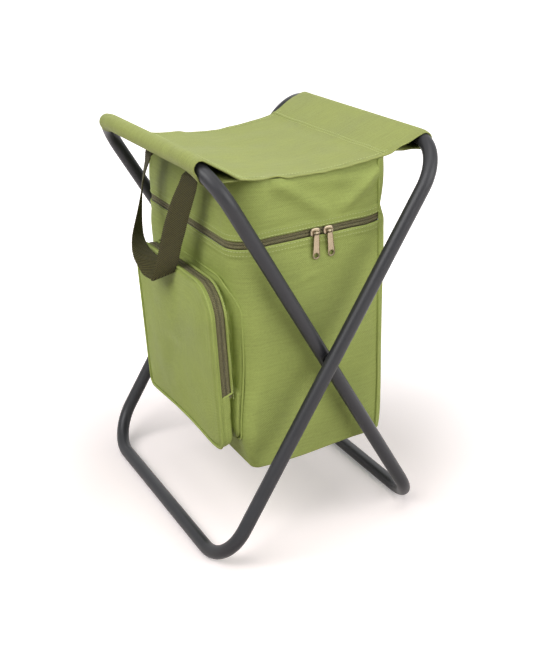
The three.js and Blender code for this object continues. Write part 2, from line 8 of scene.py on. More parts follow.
import math
from functools import partial

import bmesh
import bpy
import numpy as np
from bpy.props import FloatProperty, IntProperty, PointerProperty, StringProperty
from mathutils import Matrix, Vector


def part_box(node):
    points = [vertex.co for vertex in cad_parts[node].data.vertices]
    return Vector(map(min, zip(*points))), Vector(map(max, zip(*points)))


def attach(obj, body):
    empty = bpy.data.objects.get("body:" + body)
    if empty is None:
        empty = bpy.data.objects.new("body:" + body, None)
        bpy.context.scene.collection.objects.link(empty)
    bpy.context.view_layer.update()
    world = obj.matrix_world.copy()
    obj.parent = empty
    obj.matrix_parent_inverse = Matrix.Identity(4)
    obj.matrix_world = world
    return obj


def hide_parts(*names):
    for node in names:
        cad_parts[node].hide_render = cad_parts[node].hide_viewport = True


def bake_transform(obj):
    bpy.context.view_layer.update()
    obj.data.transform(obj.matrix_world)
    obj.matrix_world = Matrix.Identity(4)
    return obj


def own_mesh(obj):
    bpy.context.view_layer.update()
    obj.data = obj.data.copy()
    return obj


bl_info = {
    "name": "Folding Cooler Stool",
    "version": (1, 0, 0),
    "blender": (4, 5, 0),
    "location": "View3D > Sidebar > Stool",
    "description": "Dresses the packed frame of a folding cooler stool",
    "category": "Object",
}

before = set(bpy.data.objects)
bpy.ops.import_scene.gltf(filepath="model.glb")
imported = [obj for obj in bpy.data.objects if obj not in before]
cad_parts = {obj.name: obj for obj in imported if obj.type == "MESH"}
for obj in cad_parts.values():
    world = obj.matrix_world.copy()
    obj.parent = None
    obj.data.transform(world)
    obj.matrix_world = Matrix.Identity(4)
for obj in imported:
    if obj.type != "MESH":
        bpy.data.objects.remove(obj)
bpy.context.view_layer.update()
MM = 0.001


def node_edge(node, corner, axis):
    """One edge of a CAD node's box in millimetres; corner 0 is the lowest and 1 the highest."""
    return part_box(node)[corner][axis] / MM


# Places that the frame gives
TUBE_RADIUS = 7.5
RAIL_SPREAD = node_edge("outer_frame_tube", 1, 0) - TUBE_RADIUS
RAIL_HEIGHT = node_edge("outer_frame_tube", 1, 2) - TUBE_RADIUS
OUTER_DEPTH = 2 * (node_edge("outer_frame_tube", 1, 1) - TUBE_RADIUS)
INNER_DEPTH = 2 * (node_edge("inner_frame_tube", 1, 1) - TUBE_RADIUS)
BAG_HALF = node_edge("lid_foam", 1, 0) + 1.5
BAG_FRONT = node_edge("wall_panel", 0, 1)
BAG_REAR = node_edge("wall_panel", 1, 1)
BAG_FLOOR = node_edge("bag_base", 0, 2)
SEAT_FRONT = node_edge("seat_panel", 0, 1)
SEAT_REAR = node_edge("seat_panel", 1, 1)
ZIP_RISE = 7.2  # from the bag's middle to its hinge
HINGE_GAP = 0.4  # between the lid and the bag, above and below the hinge line
ZIP_HEIGHT = node_edge("upper_hinge_panel", 0, 2) - HINGE_GAP - ZIP_RISE
POCKET_FRONT = node_edge("pocket_front", 0, 1)
POCKET_REAR = node_edge("pocket_front", 1, 1)
POCKET_FLOOR = BAG_FLOOR + 25
POCKET_TOP = ZIP_HEIGHT - 47
BAG_MIDDLE = (BAG_FRONT + BAG_REAR) / 2


# Sizes and colours that a user would change
def length_property(name, description, value):
    return FloatProperty(
        name=name, description=description, default=value, unit="LENGTH", subtype="DISTANCE"
    )


def colour_property(name, description, value):
    return StringProperty(name=name, description=description, default=value)


class StoolSizes(bpy.types.PropertyGroup):
    """Sizes of the dressed parts."""

    bend_radius: length_property("Bend Radius", "Radius of the frame's bends to the tube's axis", 0.047)
    tube_sides: IntProperty(
        name="Tube Sides", description="Faces round the frame tube", default=32, min=12, max=64
    )
    seat_cloth: length_property("Seat Cloth", "Thickness of the seat's heavy cloth", 0.0012)
    bag_cloth: length_property("Bag Cloth", "Thickness of the bag's cloth", 0.001)
    stitch_pitch: length_property("Stitch Pitch", "Distance from one stitch to the next", 0.0034)
    stitch_thread: length_property("Stitch Thread", "Thickness of the sewing thread as it shows", 0.0007)
    coil_pitch: length_property("Coil Pitch", "Distance from one turn of a zip's coil to the next", 0.0018)
    fold_keep: FloatProperty(
        name="Fold Keep",
        description="Share of the bag's width that is left when the stool is folded",
        default=0.25,
        min=0.05,
        max=1.0,
        subtype="FACTOR",
    )


class StoolColours(bpy.types.PropertyGroup):
    """Colours of the finishes, as sRGB hex values."""

    frame_paint: colour_property("Frame Paint", "Charcoal powder coat", "29292C")
    rivet_steel: colour_property("Rivet Steel", "Zinc-plated steel", "9A9A98")
    spacer_nylon: colour_property("Spacer Nylon", "Black moulded nylon", "1B1B1C")
    bag_cloth: colour_property("Bag Cloth", "Olive woven polyester", "98A458")
    # The seat's colour is drawn darker than the bag's cloth as painted shade, to hold down how bright the
    # lamps make the seat's top.
    seat_cloth: colour_property("Seat Cloth", "Heavier olive polyester", "919856")
    thread: colour_property("Thread", "Sewing thread", "BCC584")
    strap_webbing: colour_property("Strap Webbing", "Dark olive webbing", "3E3A1E")
    zip_tape: colour_property("Zip Tape", "Olive brown woven tape", "6E694B")
    zip_coil: colour_property("Zip Coil", "Nylon coil of the zips", "58533A")
    zip_metal: colour_property("Zip Metal", "Warm plated zinc", "938670")
    liner: colour_property("Liner", "Silver heat-reflecting film", "C9CCD0")
    # The floor's pink tint is painted light: it warms the object's shadow on the floor, which the bag's green
    # bounce would otherwise tint green.
    floor: colour_property("Floor", "Studio floor", "F8EDEB")


def size(name):
    """One of the user's sizes in millimetres."""
    return getattr(bpy.context.scene.stool_sizes, name) / MM


def colours():
    return bpy.context.scene.stool_colours


def linear(hex_value):
    """An sRGB hex value as a linear colour with alpha."""
    channels = [int(hex_value[i : i + 2], 16) / 255 for i in (0, 2, 4)]
    linear_channels = [c / 12.92 if c <= 0.04045 else ((c + 0.055) / 1.055) ** 2.4 for c in channels]
    return (*linear_channels, 1.0)


def shade(hex_value, factor):
    """A linear colour made lighter or darker by a factor."""
    return (*[min(1.0, c * factor) for c in linear(hex_value)[:3]], 1.0)


# Nodes
def fill(node, inputs):
    """Sets a node's inputs, or links them to a socket or to another node's first output."""
    for key, value in inputs.items():
        if isinstance(value, bpy.types.Node):
            value = value.outputs[0]
        if isinstance(value, bpy.types.NodeSocket):
            node.id_data.links.new(value, node.inputs[key])
        else:
            node.inputs[key].default_value = value


def add_node(tree, kind, inputs=None, stops=(), **settings):
    """Adds a node with its settings, its inputs and, on a colour ramp, its two stops."""
    node = tree.nodes.new(kind)
    for key, value in settings.items():
        setattr(node, key, value)
    if stops:
        for element, (place, colour) in zip(node.color_ramp.elements, stops):
            element.position, element.color = place, colour
    fill(node, inputs or {})
    return node


def new_material(name):
    """A material, the function that adds a node to it, its shader and the object's space."""
    material = bpy.data.materials.new(name)
    material.use_nodes = True
    add = partial(add_node, material.node_tree)
    space = add("ShaderNodeTexCoord").outputs["Object"]
    return material, add, material.node_tree.nodes["Principled BSDF"], space


def patches(space, width, detail, roughness):
    """Inputs of a noise whose patches are about width metres across."""
    return {"Vector": space, "Scale": 1 / width, "Detail": detail, "Roughness": roughness}


def between(value, start, end, low, high):
    """Inputs of a range that goes from low to high as value goes from start to end."""
    return {"Value": value, "From Min": start, "From Max": end, "To Min": low, "To Max": high}


def tones(hex_value, dark, light, start=0.3, end=0.7):
    """Stops of a ramp from a darker to a lighter tone of one colour."""
    return (start, shade(hex_value, dark)), (end, shade(hex_value, light))


def wave(add, distance, pitch):
    """A wave that comes back every pitch metres."""
    angle = add("ShaderNodeMath", {0: distance, 1: 2 * math.pi / pitch}, operation="MULTIPLY")
    return add("ShaderNodeMath", {0: angle}, operation="SINE")


def weave(add, along, across, pitch):
    """Threads that cross, one pitch apart both ways."""
    waves = {0: wave(add, along, pitch), 1: wave(add, across, pitch)}
    return add("ShaderNodeMath", waves, operation="MULTIPLY")


def weighted(add, *terms):
    """The sum of patterns, each times its weight."""
    total = 0.0
    for pattern, weight in terms:
        total = add("ShaderNodeMath", {0: pattern, 1: weight, 2: total}, operation="MULTIPLY_ADD")
    return total


# Materials
def woven_polyester(name, hex_value, pitch):
    """Plain-woven polyester with a coated back: an even basket of fine threads, a little streaky,
    with a soft sheen. The threads are 0.5 mm apart and are drawn coarser so that they show."""
    material, add, shader, space = new_material(name)
    cloth = add("ShaderNodeUVMap", uv_map="Cloth")
    along, across, _ = add("ShaderNodeSeparateXYZ", {"Vector": cloth}).outputs
    basket = weave(add, along, across, pitch)
    drawn_out = add("ShaderNodeMapping", {"Vector": cloth, "Scale": (1.0, 12.0, 1.0)})
    streaks = add("ShaderNodeTexNoise", patches(drawn_out, 0.03, 4.0, 0.6))
    cloud = add("ShaderNodeTexNoise", patches(space, 0.05, 4.0, 0.55))
    grain = add("ShaderNodeTexNoise", patches(space, 0.0016, 2.0, 0.6))
    mixed = weighted(add, (basket, 0.16), (streaks, 0.36), (cloud, 0.35), (grain, 0.30))
    height = weighted(add, (basket, 0.5), (grain, 1.0))
    look = {
        "Base Color": add("ShaderNodeValToRGB", {"Fac": mixed}, tones(hex_value, 0.70, 1.30, 0.25, 0.75)),
        "Roughness": add("ShaderNodeMapRange", between(cloud, 0.3, 0.7, 0.58, 0.72)),
        "Normal": add("ShaderNodeBump", {"Height": height, "Strength": 0.50, "Distance": 0.0004}),
        "Specular IOR Level": 0.3,
        "Sheen Weight": 0.25,
        "Sheen Roughness": 0.45,
        "Sheen Tint": shade(hex_value, 1.5),
    }
    fill(shader, look)
    return material


def ribbed_webbing(name, hex_value, pitch):
    """Heavy polyester webbing: slanting ribs of thick threads, matt, with a brighter fleck."""
    material, add, shader, space = new_material(name)
    cloth = add("ShaderNodeUVMap", uv_map="Cloth")
    along, across, _ = add("ShaderNodeSeparateXYZ", {"Vector": cloth}).outputs
    slant = add("ShaderNodeMath", {0: along, 1: across}, operation="ADD")
    fleck = add("ShaderNodeTexNoise", patches(space, 0.0012, 2.0, 0.6))
    ribs = weighted(add, (wave(add, slant, pitch), 1.0), (weave(add, along, across, pitch * 0.8), 1.0))
    shown = weighted(add, (ribs, 0.4), (fleck, 1.0))
    height = weighted(add, (ribs, 1.0), (fleck, 1.0))
    look = {
        "Base Color": add("ShaderNodeValToRGB", {"Fac": shown}, tones(hex_value, 0.3, 2.1, 0.15, 0.9)),
        "Roughness": add("ShaderNodeMapRange", between(fleck, 0.2, 0.8, 0.65, 0.85)),
        "Normal": add("ShaderNodeBump", {"Height": height, "Strength": 0.6, "Distance": 0.0004}),
        "Specular IOR Level": 0.25,
        "Sheen Weight": 0.06,
        "Sheen Roughness": 0.5,
    }
    fill(shader, look)
    return material


def powder_coat(name, hex_value):
    """Charcoal powder coat on steel tube: semi-gloss with an orange-peel grain, and duller scuffs
    where it stands on the floor. The grain is 0.3 mm and is drawn coarser so that it shows."""
    material, add, shader, space = new_material(name)
    peel = add("ShaderNodeTexNoise", patches(space, 0.0016, 2.0, 0.5))
    cloud = add("ShaderNodeTexNoise", patches(space, 0.03, 3.0, 0.6))
    scuff = add("ShaderNodeTexNoise", patches(space, 0.004, 5.0, 0.75))
    height = add("ShaderNodeSeparateXYZ", {"Vector": space}).outputs["Z"]
    low = add("ShaderNodeMapRange", between(height, 0.0, 0.012, 1.0, 0.0))
    marks = add("ShaderNodeMapRange", between(scuff, 0.52, 0.62, 0.0, 1.0))
    worn = add("ShaderNodeMath", {0: low, 1: marks}, operation="MULTIPLY")
    base = add("ShaderNodeValToRGB", {"Fac": cloud}, tones(hex_value, 0.92, 1.08))
    gloss = add("ShaderNodeMapRange", between(cloud, 0.3, 0.7, 0.36, 0.44))
    mixed = {"Factor": worn, 6: base, 7: shade(hex_value, 1.9)}
    look = {
        "Base Color": add("ShaderNodeMix", mixed, data_type="RGBA").outputs[2],
        "Roughness": weighted(add, (gloss, 1.0), (worn, 0.25)),
        "Normal": add("ShaderNodeBump", {"Height": peel, "Strength": 0.12, "Distance": 0.0003}),
        "Specular IOR Level": 0.35,
    }
    fill(shader, look)
    return material


def mottled(name, hex_value, grain, dark, light, gloss, relief=(0.0, 0.0003), metallic=0.0):
    """A finish whose tone, roughness and bumps follow one pattern.

    grain is the pattern's width, detail and roughness, gloss the surface's roughness at both
    ends of it, and relief the strength and depth of the bumps."""
    material, add, shader, space = new_material(name)
    pattern = add("ShaderNodeTexNoise", patches(space, *grain))
    look = {
        "Base Color": add("ShaderNodeValToRGB", {"Fac": pattern}, tones(hex_value, dark, light)),
        "Roughness": add("ShaderNodeMapRange", between(pattern, 0.3, 0.7, *gloss)),
        "Metallic": metallic,
    }
    strength, depth = relief
    if strength:
        bump = {"Height": pattern, "Strength": strength, "Distance": depth}
        look["Normal"] = add("ShaderNodeBump", bump)
    fill(shader, look)
    return material


def sewing_thread(name, hex_value):
    """Twisted polyester thread: slightly glossy, with light and dark turns."""
    return mottled(name, hex_value, (0.0008, 1.0, 0.5), 0.85, 1.1, (0.5, 0.65))


def plated_metal(name, hex_value, roughness):
    """Plated zinc or steel: bright, with faint handling marks from tumbling."""
    gloss = (roughness, roughness + 0.12)
    return mottled(name, hex_value, (0.0025, 4.0, 0.7), 0.9, 1.05, gloss, (0.08, 0.0003), 1.0)


def moulded_nylon(name, hex_value):
    """Black moulded nylon or a zip's coil: satin, with a faint flow pattern."""
    return mottled(name, hex_value, (0.003, 3.0, 0.6), 0.85, 1.15, (0.38, 0.5))


def reflecting_film(name, hex_value):
    """Silver heat-reflecting film on foam: bright, softly crinkled."""
    return mottled(name, hex_value, (0.012, 5.0, 0.65), 0.85, 1.1, (0.25, 0.4), (0.5, 0.0012), 0.7)


FINISHES = {}


def make_finishes():
    hue = colours()
    FINISHES.update(
        frame_paint=powder_coat("charcoal_powder_coat", hue.frame_paint),
        rivet_steel=plated_metal("zinc_plated_steel", hue.rivet_steel, 0.32),
        spacer_nylon=moulded_nylon("black_moulded_nylon", hue.spacer_nylon),
        bag_cloth=woven_polyester("olive_woven_polyester", hue.bag_cloth, 0.0019),
        # The seat's copy of the cloth is darker than the bag's: painted shade on the seat's top.
        seat_cloth=woven_polyester("heavy_polyester_painted_shade", hue.seat_cloth, 0.0021),
        thread=sewing_thread("polyester_sewing_thread", hue.thread),
        strap_webbing=ribbed_webbing("dark_olive_webbing", hue.strap_webbing, 0.0027),
        zip_tape=ribbed_webbing("woven_zip_tape", hue.zip_tape, 0.0016),
        zip_coil=moulded_nylon("nylon_zip_coil", hue.zip_coil),
        zip_metal=plated_metal("warm_plated_zinc", hue.zip_metal, 0.22),
        liner=reflecting_film("silver_film", hue.liner),
    )


# Numbers and curves
def lengths_along(points):
    """Distance from the first point to each of them."""
    steps = np.linalg.norm(np.diff(points, axis=0), axis=1)
    return np.concatenate([[0.0], np.cumsum(steps)])


def resampled(points, count):
    """The same line with its points evenly spaced."""
    points = np.asarray(points, float)
    along = lengths_along(points)
    wanted = np.linspace(0, along[-1], count)
    return np.stack([np.interp(wanted, along, points[:, axis]) for axis in range(points.shape[1])], axis=1)


def curve_through(stations, count):
    """A smooth curve through the stations, evenly spaced."""
    stations = np.asarray(stations, float)
    before = 2 * stations[0] - stations[1]
    after = 2 * stations[-1] - stations[-2]
    padded = np.vstack([before, stations, after])
    pieces = []
    steps = np.linspace(0, 1, 24, endpoint=False)[:, None]
    for first, second, third, fourth in zip(padded, padded[1:], padded[2:], padded[3:]):
        cubic = -first + 3 * second - 3 * third + fourth
        square = 2 * first - 5 * second + 4 * third - fourth
        slope = third - first
        pieces.append(0.5 * (2 * second + slope * steps + square * steps**2 + cubic * steps**3))
    return resampled(np.vstack([*pieces, stations[-1:]]), count)


def smooth_table(value, places, heights):
    """Heights read from a table, with rounded turns between its places."""
    places = np.asarray(places, float)
    heights = np.asarray(heights, float)
    slopes = np.gradient(heights, places)
    value = np.clip(value, places[0], places[-1])
    index = np.clip(np.searchsorted(places, value, side="right") - 1, 0, len(places) - 2)
    gap = places[index + 1] - places[index]
    t = (value - places[index]) / gap
    return (
        heights[index] * (1 + 2 * t) * (1 - t) ** 2
        + slopes[index] * gap * t * (1 - t) ** 2
        + heights[index + 1] * t**2 * (3 - 2 * t)
        + slopes[index + 1] * gap * t**2 * (t - 1)
    )


def eased(value, start, end):
    """0 before start, 1 after end, and smooth between."""
    t = np.clip((value - start) / (end - start), 0, 1)
    return t * t * (3 - 2 * t)


def soft_noise(u, v, width, seed, waves=16):
    """Gentle unevenness with bumps of about the given width."""
    random = np.random.default_rng(seed)
    total = 0
    for _ in range(waves):
        angle = random.uniform(0, 2 * math.pi)
        turns = 2 * math.pi / (width * random.uniform(0.7, 1.7))
        total = total + np.sin((u * math.cos(angle) + v * math.sin(angle)) * turns + random.uniform(0, 6.3))
    return total / math.sqrt(waves)


def crease(u, v, start, end, width, height):
    """A soft fold along a line on the cloth, fading at both ends."""
    start, end = np.array(start, float), np.array(end, float)
    run = end - start
    length = np.linalg.norm(run)
    t = ((u - start[0]) * run[0] + (v - start[1]) * run[1]) / length**2
    off = ((u - start[0]) * run[1] - (v - start[1]) * run[0]) / length
    fade = eased(t, -0.15, 0.25) * (1 - eased(t, 0.75, 1.15))
    return height * np.exp(-((off / width) ** 2)) * fade


def dent(u, v, centre, spread, depth):
    """A hollow, or a swelling, that fades to nothing all round."""
    return depth * np.exp(-(((u - centre[0]) / spread[0]) ** 2) - ((v - centre[1]) / spread[1]) ** 2)


# Meshes
RIM_BULGE = 0.4  # share of a sheet's thickness by which its edge rounds outwards


class Skin:
    """Faces with their cloth coordinates, gathered before they become a mesh."""

    def __init__(self):
        self.points = []
        self.faces = []
        self.cloth = []
        self.count = 0

    def add_grid(self, grid, cloth=None, wrap=False):
        """Adds a grid of points; cloth gives millimetres along and across for each of them."""
        rows, columns = grid.shape[:2]
        if cloth is None:
            cloth = cloth_of(grid, wrap)
        last = columns if wrap else columns - 1
        r, c = np.meshgrid(np.arange(rows - 1), np.arange(last), indexing="ij")
        corners = [(r, c), (r, c + 1), (r + 1, c + 1), (r + 1, c)]
        index = [row * columns + column % columns + self.count for row, column in corners]
        self.faces.append(np.stack(index, axis=-1).reshape(-1, 4))
        self.cloth.append(np.stack([cloth[row, column] for row, column in corners], axis=2).reshape(-1, 4, 2))
        self.points.append(grid.reshape(-1, 3))
        self.count += rows * columns
        return self

    def build(self, name, finish, sharp=40):
        """Makes the mesh, welds it, turns its faces outwards and gives it its finish."""
        mesh = bpy.data.meshes.new(name)
        points = np.concatenate(self.points) * MM
        faces = np.concatenate(self.faces)
        mesh.from_pydata(points.tolist(), [], faces.tolist())
        layer = mesh.uv_layers.new(name="Cloth")
        layer.data.foreach_set("uv", (np.concatenate(self.cloth) * MM).ravel().astype(np.float32))
        finish_mesh(mesh, sharp)
        mesh.materials.append(FINISHES[finish])
        return link_mesh(name, mesh)


def cloth_of(grid, wrap=False):
    """Millimetres along the rows and the columns of a grid, one column more where it wraps."""
    if wrap:
        grid = np.concatenate([grid, grid[:, :1]], axis=1)
    along = np.linalg.norm(np.diff(grid, axis=1), axis=2)
    down = np.linalg.norm(np.diff(grid, axis=0), axis=2)
    u = np.concatenate([np.zeros((len(grid), 1)), np.cumsum(along, axis=1)], axis=1)
    v = np.concatenate([np.zeros((1, grid.shape[1])), np.cumsum(down, axis=0)], axis=0)
    widest = np.argmax(u[:, -1])
    u = np.repeat(u[widest : widest + 1], len(grid), axis=0)
    return np.stack([u, v], axis=2)


def finish_mesh(mesh, sharp):
    """Welds the mesh, drops loose points, turns its faces outwards and smooths it up to an angle."""
    build = bmesh.new()
    build.from_mesh(mesh)
    bmesh.ops.remove_doubles(build, verts=build.verts, dist=2e-6)
    loose = [vertex for vertex in build.verts if not vertex.link_faces]
    bmesh.ops.delete(build, geom=loose, context="VERTS")
    bmesh.ops.recalc_face_normals(build, faces=build.faces)
    build.to_mesh(mesh)
    build.free()
    mesh.shade_smooth()
    mesh.set_sharp_from_angle(angle=math.radians(sharp))


def link_mesh(name, mesh):
    piece = bpy.data.objects.new(name, mesh)
    bpy.context.scene.collection.objects.link(piece)
    return piece


def grid_normals(grid, wrap):
    """Directions off the surface; a closed end takes those of the row before it."""
    down = np.gradient(grid, axis=0)
    if wrap:
        across = np.roll(grid, -1, axis=1) - np.roll(grid, 1, axis=1)
    else:
        across = np.gradient(grid, axis=1)
    normals = np.cross(across, down)
    length = np.linalg.norm(normals, axis=2, keepdims=True)
    normals = normals / np.maximum(length, 1e-9)
    for row, beside in ((0, 1), (-1, -2)):
        if length[row].max() < 1e-6:
            mean = normals[beside].mean(axis=0)
            normals[row] = mean / np.linalg.norm(mean)
    return normals


def rim(outer, inner, away, wrap):
    """A rounded edge from the outer face of a sheet to its inner face, flat at an open edge's ends."""
    if not wrap:
        away[0] = away[-1] = 0
    thick = np.linalg.norm(outer - inner, axis=1, keepdims=True)
    return np.stack([outer, (outer + inner) / 2 + away * thick * RIM_BULGE, inner])


def thick_sheet(name, grid, finish, up, down, wrap=False, closed_end=False, sharp=40):
    """A closed sheet of cloth that is up thick over the grid and down thick under it."""
    normals = grid_normals(grid, wrap)
    up = np.broadcast_to(up, grid.shape[:2])[..., None]
    down = np.broadcast_to(down, grid.shape[:2])[..., None]
    outer, inner = grid + normals * up, grid - normals * down
    cloth = cloth_of(grid, wrap)
    skin = Skin().add_grid(outer, cloth, wrap).add_grid(inner, cloth, wrap)
    ends = [(0, 1)] if closed_end else [(0, 1), (-1, -2)]
    for row, beside in ends:
        away = unit_rows(grid[row] - grid[beside])
        skin.add_grid(rim(outer[row], inner[row], away, wrap), wrap=wrap)
    if not wrap:
        for column, beside in ((0, 1), (-1, -2)):
            away = unit_rows(grid[:, column] - grid[:, beside])
            skin.add_grid(rim(outer[:, column], inner[:, column], away, wrap))
    return skin.build(name, finish, sharp)


def unit_rows(rows):
    return rows / np.maximum(np.linalg.norm(rows, axis=-1, keepdims=True), 1e-9)





# Geometry Nodes
def new_tree(name, kinds):
    """A tree that turns a mesh's edges into a line; kinds gives the kind of each further input."""
    tree = bpy.data.node_groups.new(name, "GeometryNodeTree")
    tree.interface.new_socket("Geometry", in_out="OUTPUT", socket_type="NodeSocketGeometry")
    for label, kind in {"Geometry": "Geometry", **kinds}.items():
        tree.interface.new_socket(label, in_out="INPUT", socket_type="NodeSocket" + kind)
    add = partial(add_node, tree)
    given = add("NodeGroupInput").outputs
    return tree, add, given, add("GeometryNodeMeshToCurve", {"Mesh": given["Geometry"]})


def end_tree(add, geometry, material):
    real = add("GeometryNodeRealizeInstances", {"Geometry": geometry})
    painted = add("GeometryNodeSetMaterial", {"Geometry": real, "Material": material})
    add("NodeGroupOutput", {"Geometry": painted})


def tube_tree():
    """A round tube along a line of points whose corners are rounded."""
    kinds = {
        "Radius": "Float",
        "Bend Radius": "Float",
        "Bend Steps": "Int",
        "Sides": "Int",
        "Material": "Material",
    }
    tree, add, given, line = new_tree("tube_along_line", kinds)
    corners = {
        "Curve": line,
        "Radius": given["Bend Radius"],
        "Count": given["Bend Steps"],
        "Limit Radius": True,
    }
    bent = add("GeometryNodeFilletCurve", corners, mode="POLY")
    ring = {"Radius": given["Radius"], "Resolution": given["Sides"]}
    profile = add("GeometryNodeCurvePrimitiveCircle", ring)
    swept = {"Curve": bent, "Profile Curve": profile, "Fill Caps": True}
    end_tree(add, add("GeometryNodeCurveToMesh", swept), given["Material"])
    return tree


def row_tree():
    """A row of small rounded shapes along a line, such as stitches or the turns of a coil."""
    kinds = {"Pitch": "Float", "Shape": "Vector", "Up": "Vector", "Material": "Material"}
    tree, add, given, line = new_tree("row_along_line", kinds)
    spaced = add("GeometryNodeResampleCurve", {"Curve": line, "Length": given["Pitch"]}, mode="LENGTH")
    ball = add("GeometryNodeMeshUVSphere", {"Segments": 8, "Rings": 5, "Radius": 0.5})
    shape = add("GeometryNodeTransform", {"Geometry": ball, "Scale": given["Shape"]})
    tangent = add("GeometryNodeInputTangent")
    ahead = add("FunctionNodeAlignRotationToVector", {"Vector": tangent}, axis="X")
    turned = {"Rotation": ahead, "Vector": given["Up"]}
    level = add("FunctionNodeAlignRotationToVector", turned, axis="Z", pivot_axis="X")
    placed_shapes = {"Points": spaced, "Instance": shape, "Rotation": level}
    end_tree(add, add("GeometryNodeInstanceOnPoints", placed_shapes), given["Material"])
    return tree


def grown(name, tree, lines, values, closed=False, sharp=60):
    """What a tree grows from lines of points, as a plain mesh at the origin."""
    host_mesh = bpy.data.meshes.new(name)
    points, edges = [], []
    for line in lines:
        start = len(points)
        points.extend((np.asarray(line) * MM).tolist())
        edges.extend((i, i + 1) for i in range(start, len(points) - 1))
        if closed:
            edges.append((len(points) - 1, start))
    host_mesh.from_pydata(points, edges, [])
    host = link_mesh(name + "_host", host_mesh)
    modifier = host.modifiers.new(tree.name, "NODES")
    modifier.node_group = tree
    sockets = {item.name: item.identifier for item in tree.interface.items_tree if item.in_out == "INPUT"}
    for label, value in values.items():
        modifier[sockets[label]] = value
    bpy.context.view_layer.update()
    evaluated = host.evaluated_get(bpy.context.evaluated_depsgraph_get())
    mesh = bpy.data.meshes.new_from_object(evaluated)
    mesh.name = name
    bpy.data.objects.remove(host)
    finish_mesh(mesh, sharp)
    return link_mesh(name, mesh)


TREES = {}


def tube(name, lines, radius, finish, sides=12, closed=False, bend=0.0, steps=12):
    values = {
        "Radius": radius * MM,
        "Bend Radius": bend * MM,
        "Bend Steps": steps,
        "Sides": sides,
        "Material": FINISHES[finish],
    }
    return grown(name, TREES["tube"], lines, values, closed)


def row(name, lines, pitch, shape, finish, up=(0.0, 0.0, 1.0)):
    shape = tuple(side * MM for side in shape)
    values = {"Pitch": pitch * MM, "Shape": shape, "Up": up, "Material": FINISHES[finish]}
    return grown(name, TREES["row"], lines, values)


def stitches(name, lines):
    thread, pitch = size("stitch_thread"), size("stitch_pitch")
    return row(name, lines, pitch, (pitch * 0.85, thread, thread), "thread")


def settle(piece, body, replaced=(), folds=True):
    """Puts a finished piece on its body and hides the parts that it stands for."""
    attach(piece, body)
    if replaced:
        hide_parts(*replaced)
    if folds:
        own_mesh(piece)
    return piece


# Frame
LOOP_DEPTHS = {1: OUTER_DEPTH, -1: INNER_DEPTH}  # by the side of the loop's upper rail
RAIL_DROPS = {1: (1.8, 4.6), -1: (0.0, 4.6)}  # how far a rail hangs below the plain form, front and rear


def rail_height(side, y):
    """Height of a rail's axis, which falls a little towards the rear under the seat's pull."""
    half = LOOP_DEPTHS[side] / 2
    front, rear = RAIL_DROPS[side]
    return RAIL_HEIGHT - front - (rear - front) * (y + half) / (2 * half)


def loop_corners(side):
    """The four corners of a loop's axis, from the upper rail down to the lower rail."""
    half = LOOP_DEPTHS[side] / 2
    upper = [(side * RAIL_SPREAD, y, rail_height(side, y)) for y in (-half, half)]
    return upper + [(-side * RAIL_SPREAD, y, TUBE_RADIUS) for y in (half, -half)]


def make_frame():
    sides = bpy.context.scene.stool_sizes.tube_sides
    looped = {"sides": sides, "closed": True, "bend": size("bend_radius"), "steps": 18}
    for name, side in (("outer_frame", 1), ("inner_frame", -1)):
        loop = tube(name + "_tube_smooth", [loop_corners(side)], TUBE_RADIUS, "frame_paint", **looped)
        settle(loop, name, [name + "_tube"], folds=False)
        make_spigot(name, side)
    for part, finish in (("rivet", "rivet_steel"), ("spacer", "spacer_nylon")):
        for end in ("front", "rear"):
            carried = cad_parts[f"{end}_pivot_{part}"]
            for entry in carried.material_slots:
                entry.material = FINISHES[finish]


def make_spigot(name, side):
    """The steel spigot inside the rail, where the loop's two ends meet."""
    low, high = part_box(name + "_spigot")
    places = np.array([low.y, high.y]) / MM
    line = [(side * RAIL_SPREAD, y, rail_height(side, y)) for y in places]
    spigot = tube(name + "_spigot_pin", [line], (high.x - low.x) / 2 / MM, "rivet_steel", 24)
    settle(spigot, name, [name + "_spigot"], folds=False)


# Seat
SEAT_PLACES = (-84, -76, -60, -40, 0, 25, 50, 74, 84)
SEAT_FRONT_HEIGHTS = (409.4, 407.9, 406.6, 406, 406, 408, 411, 414.4, 417)
SEAT_REAR_HEIGHTS = (407.6, 406.1, 404.6, 403, 400.5, 403, 406.5, 411.5, 416.5)
SEAT_EDGE = 84  # where the cloth leaves the bag for the rail
SEAT_SAG = 1.5  # in the middle, beyond the tables' own
SEAT_BANDS = 0.35  # height of the soft bands across it
SEAT_PLAY = 0.35  # between the cloth and the rails
SECTION_POINTS = 72  # round a rail
ROOF_START = 101.5  # where the rails start to leave the cloth's top, from the middle
ROOF_REACH = 29.5
ROOF_SHRINK = 0.8
ROOF_FALL = 2.4
SLEEVE_REACH = 11  # how much further the sleeves reach at the rear
MOUTH_PULLS = (4.5, 9)  # how far the sleeves' undersides are drawn back at the front, left and right
HEM_WIDTH = 8
HEM_UP = 0.35  # how far a hem's folded cloth stands out above and below
HEM_DOWN = 0.15
SLEEVE_SEAMS = (-77, -80.5, 76, 79.5)


def seat_top(x, y):
    """Height of the seat's upper face."""
    front = smooth_table(x, SEAT_PLACES, SEAT_FRONT_HEIGHTS)
    rear = smooth_table(x, SEAT_PLACES, SEAT_REAR_HEIGHTS)
    share = np.clip((y - SEAT_FRONT) / (SEAT_REAR - SEAT_FRONT), 0, 1)
    sag = SEAT_SAG * np.sin(math.pi * share) * np.cos(np.clip(x / SEAT_EDGE, -1, 1) * math.pi / 2)
    bands = SEAT_BANDS * soft_noise(x * 0.35, y, 60, 11)
    return front * (1 - share) + rear * share - sag + bands


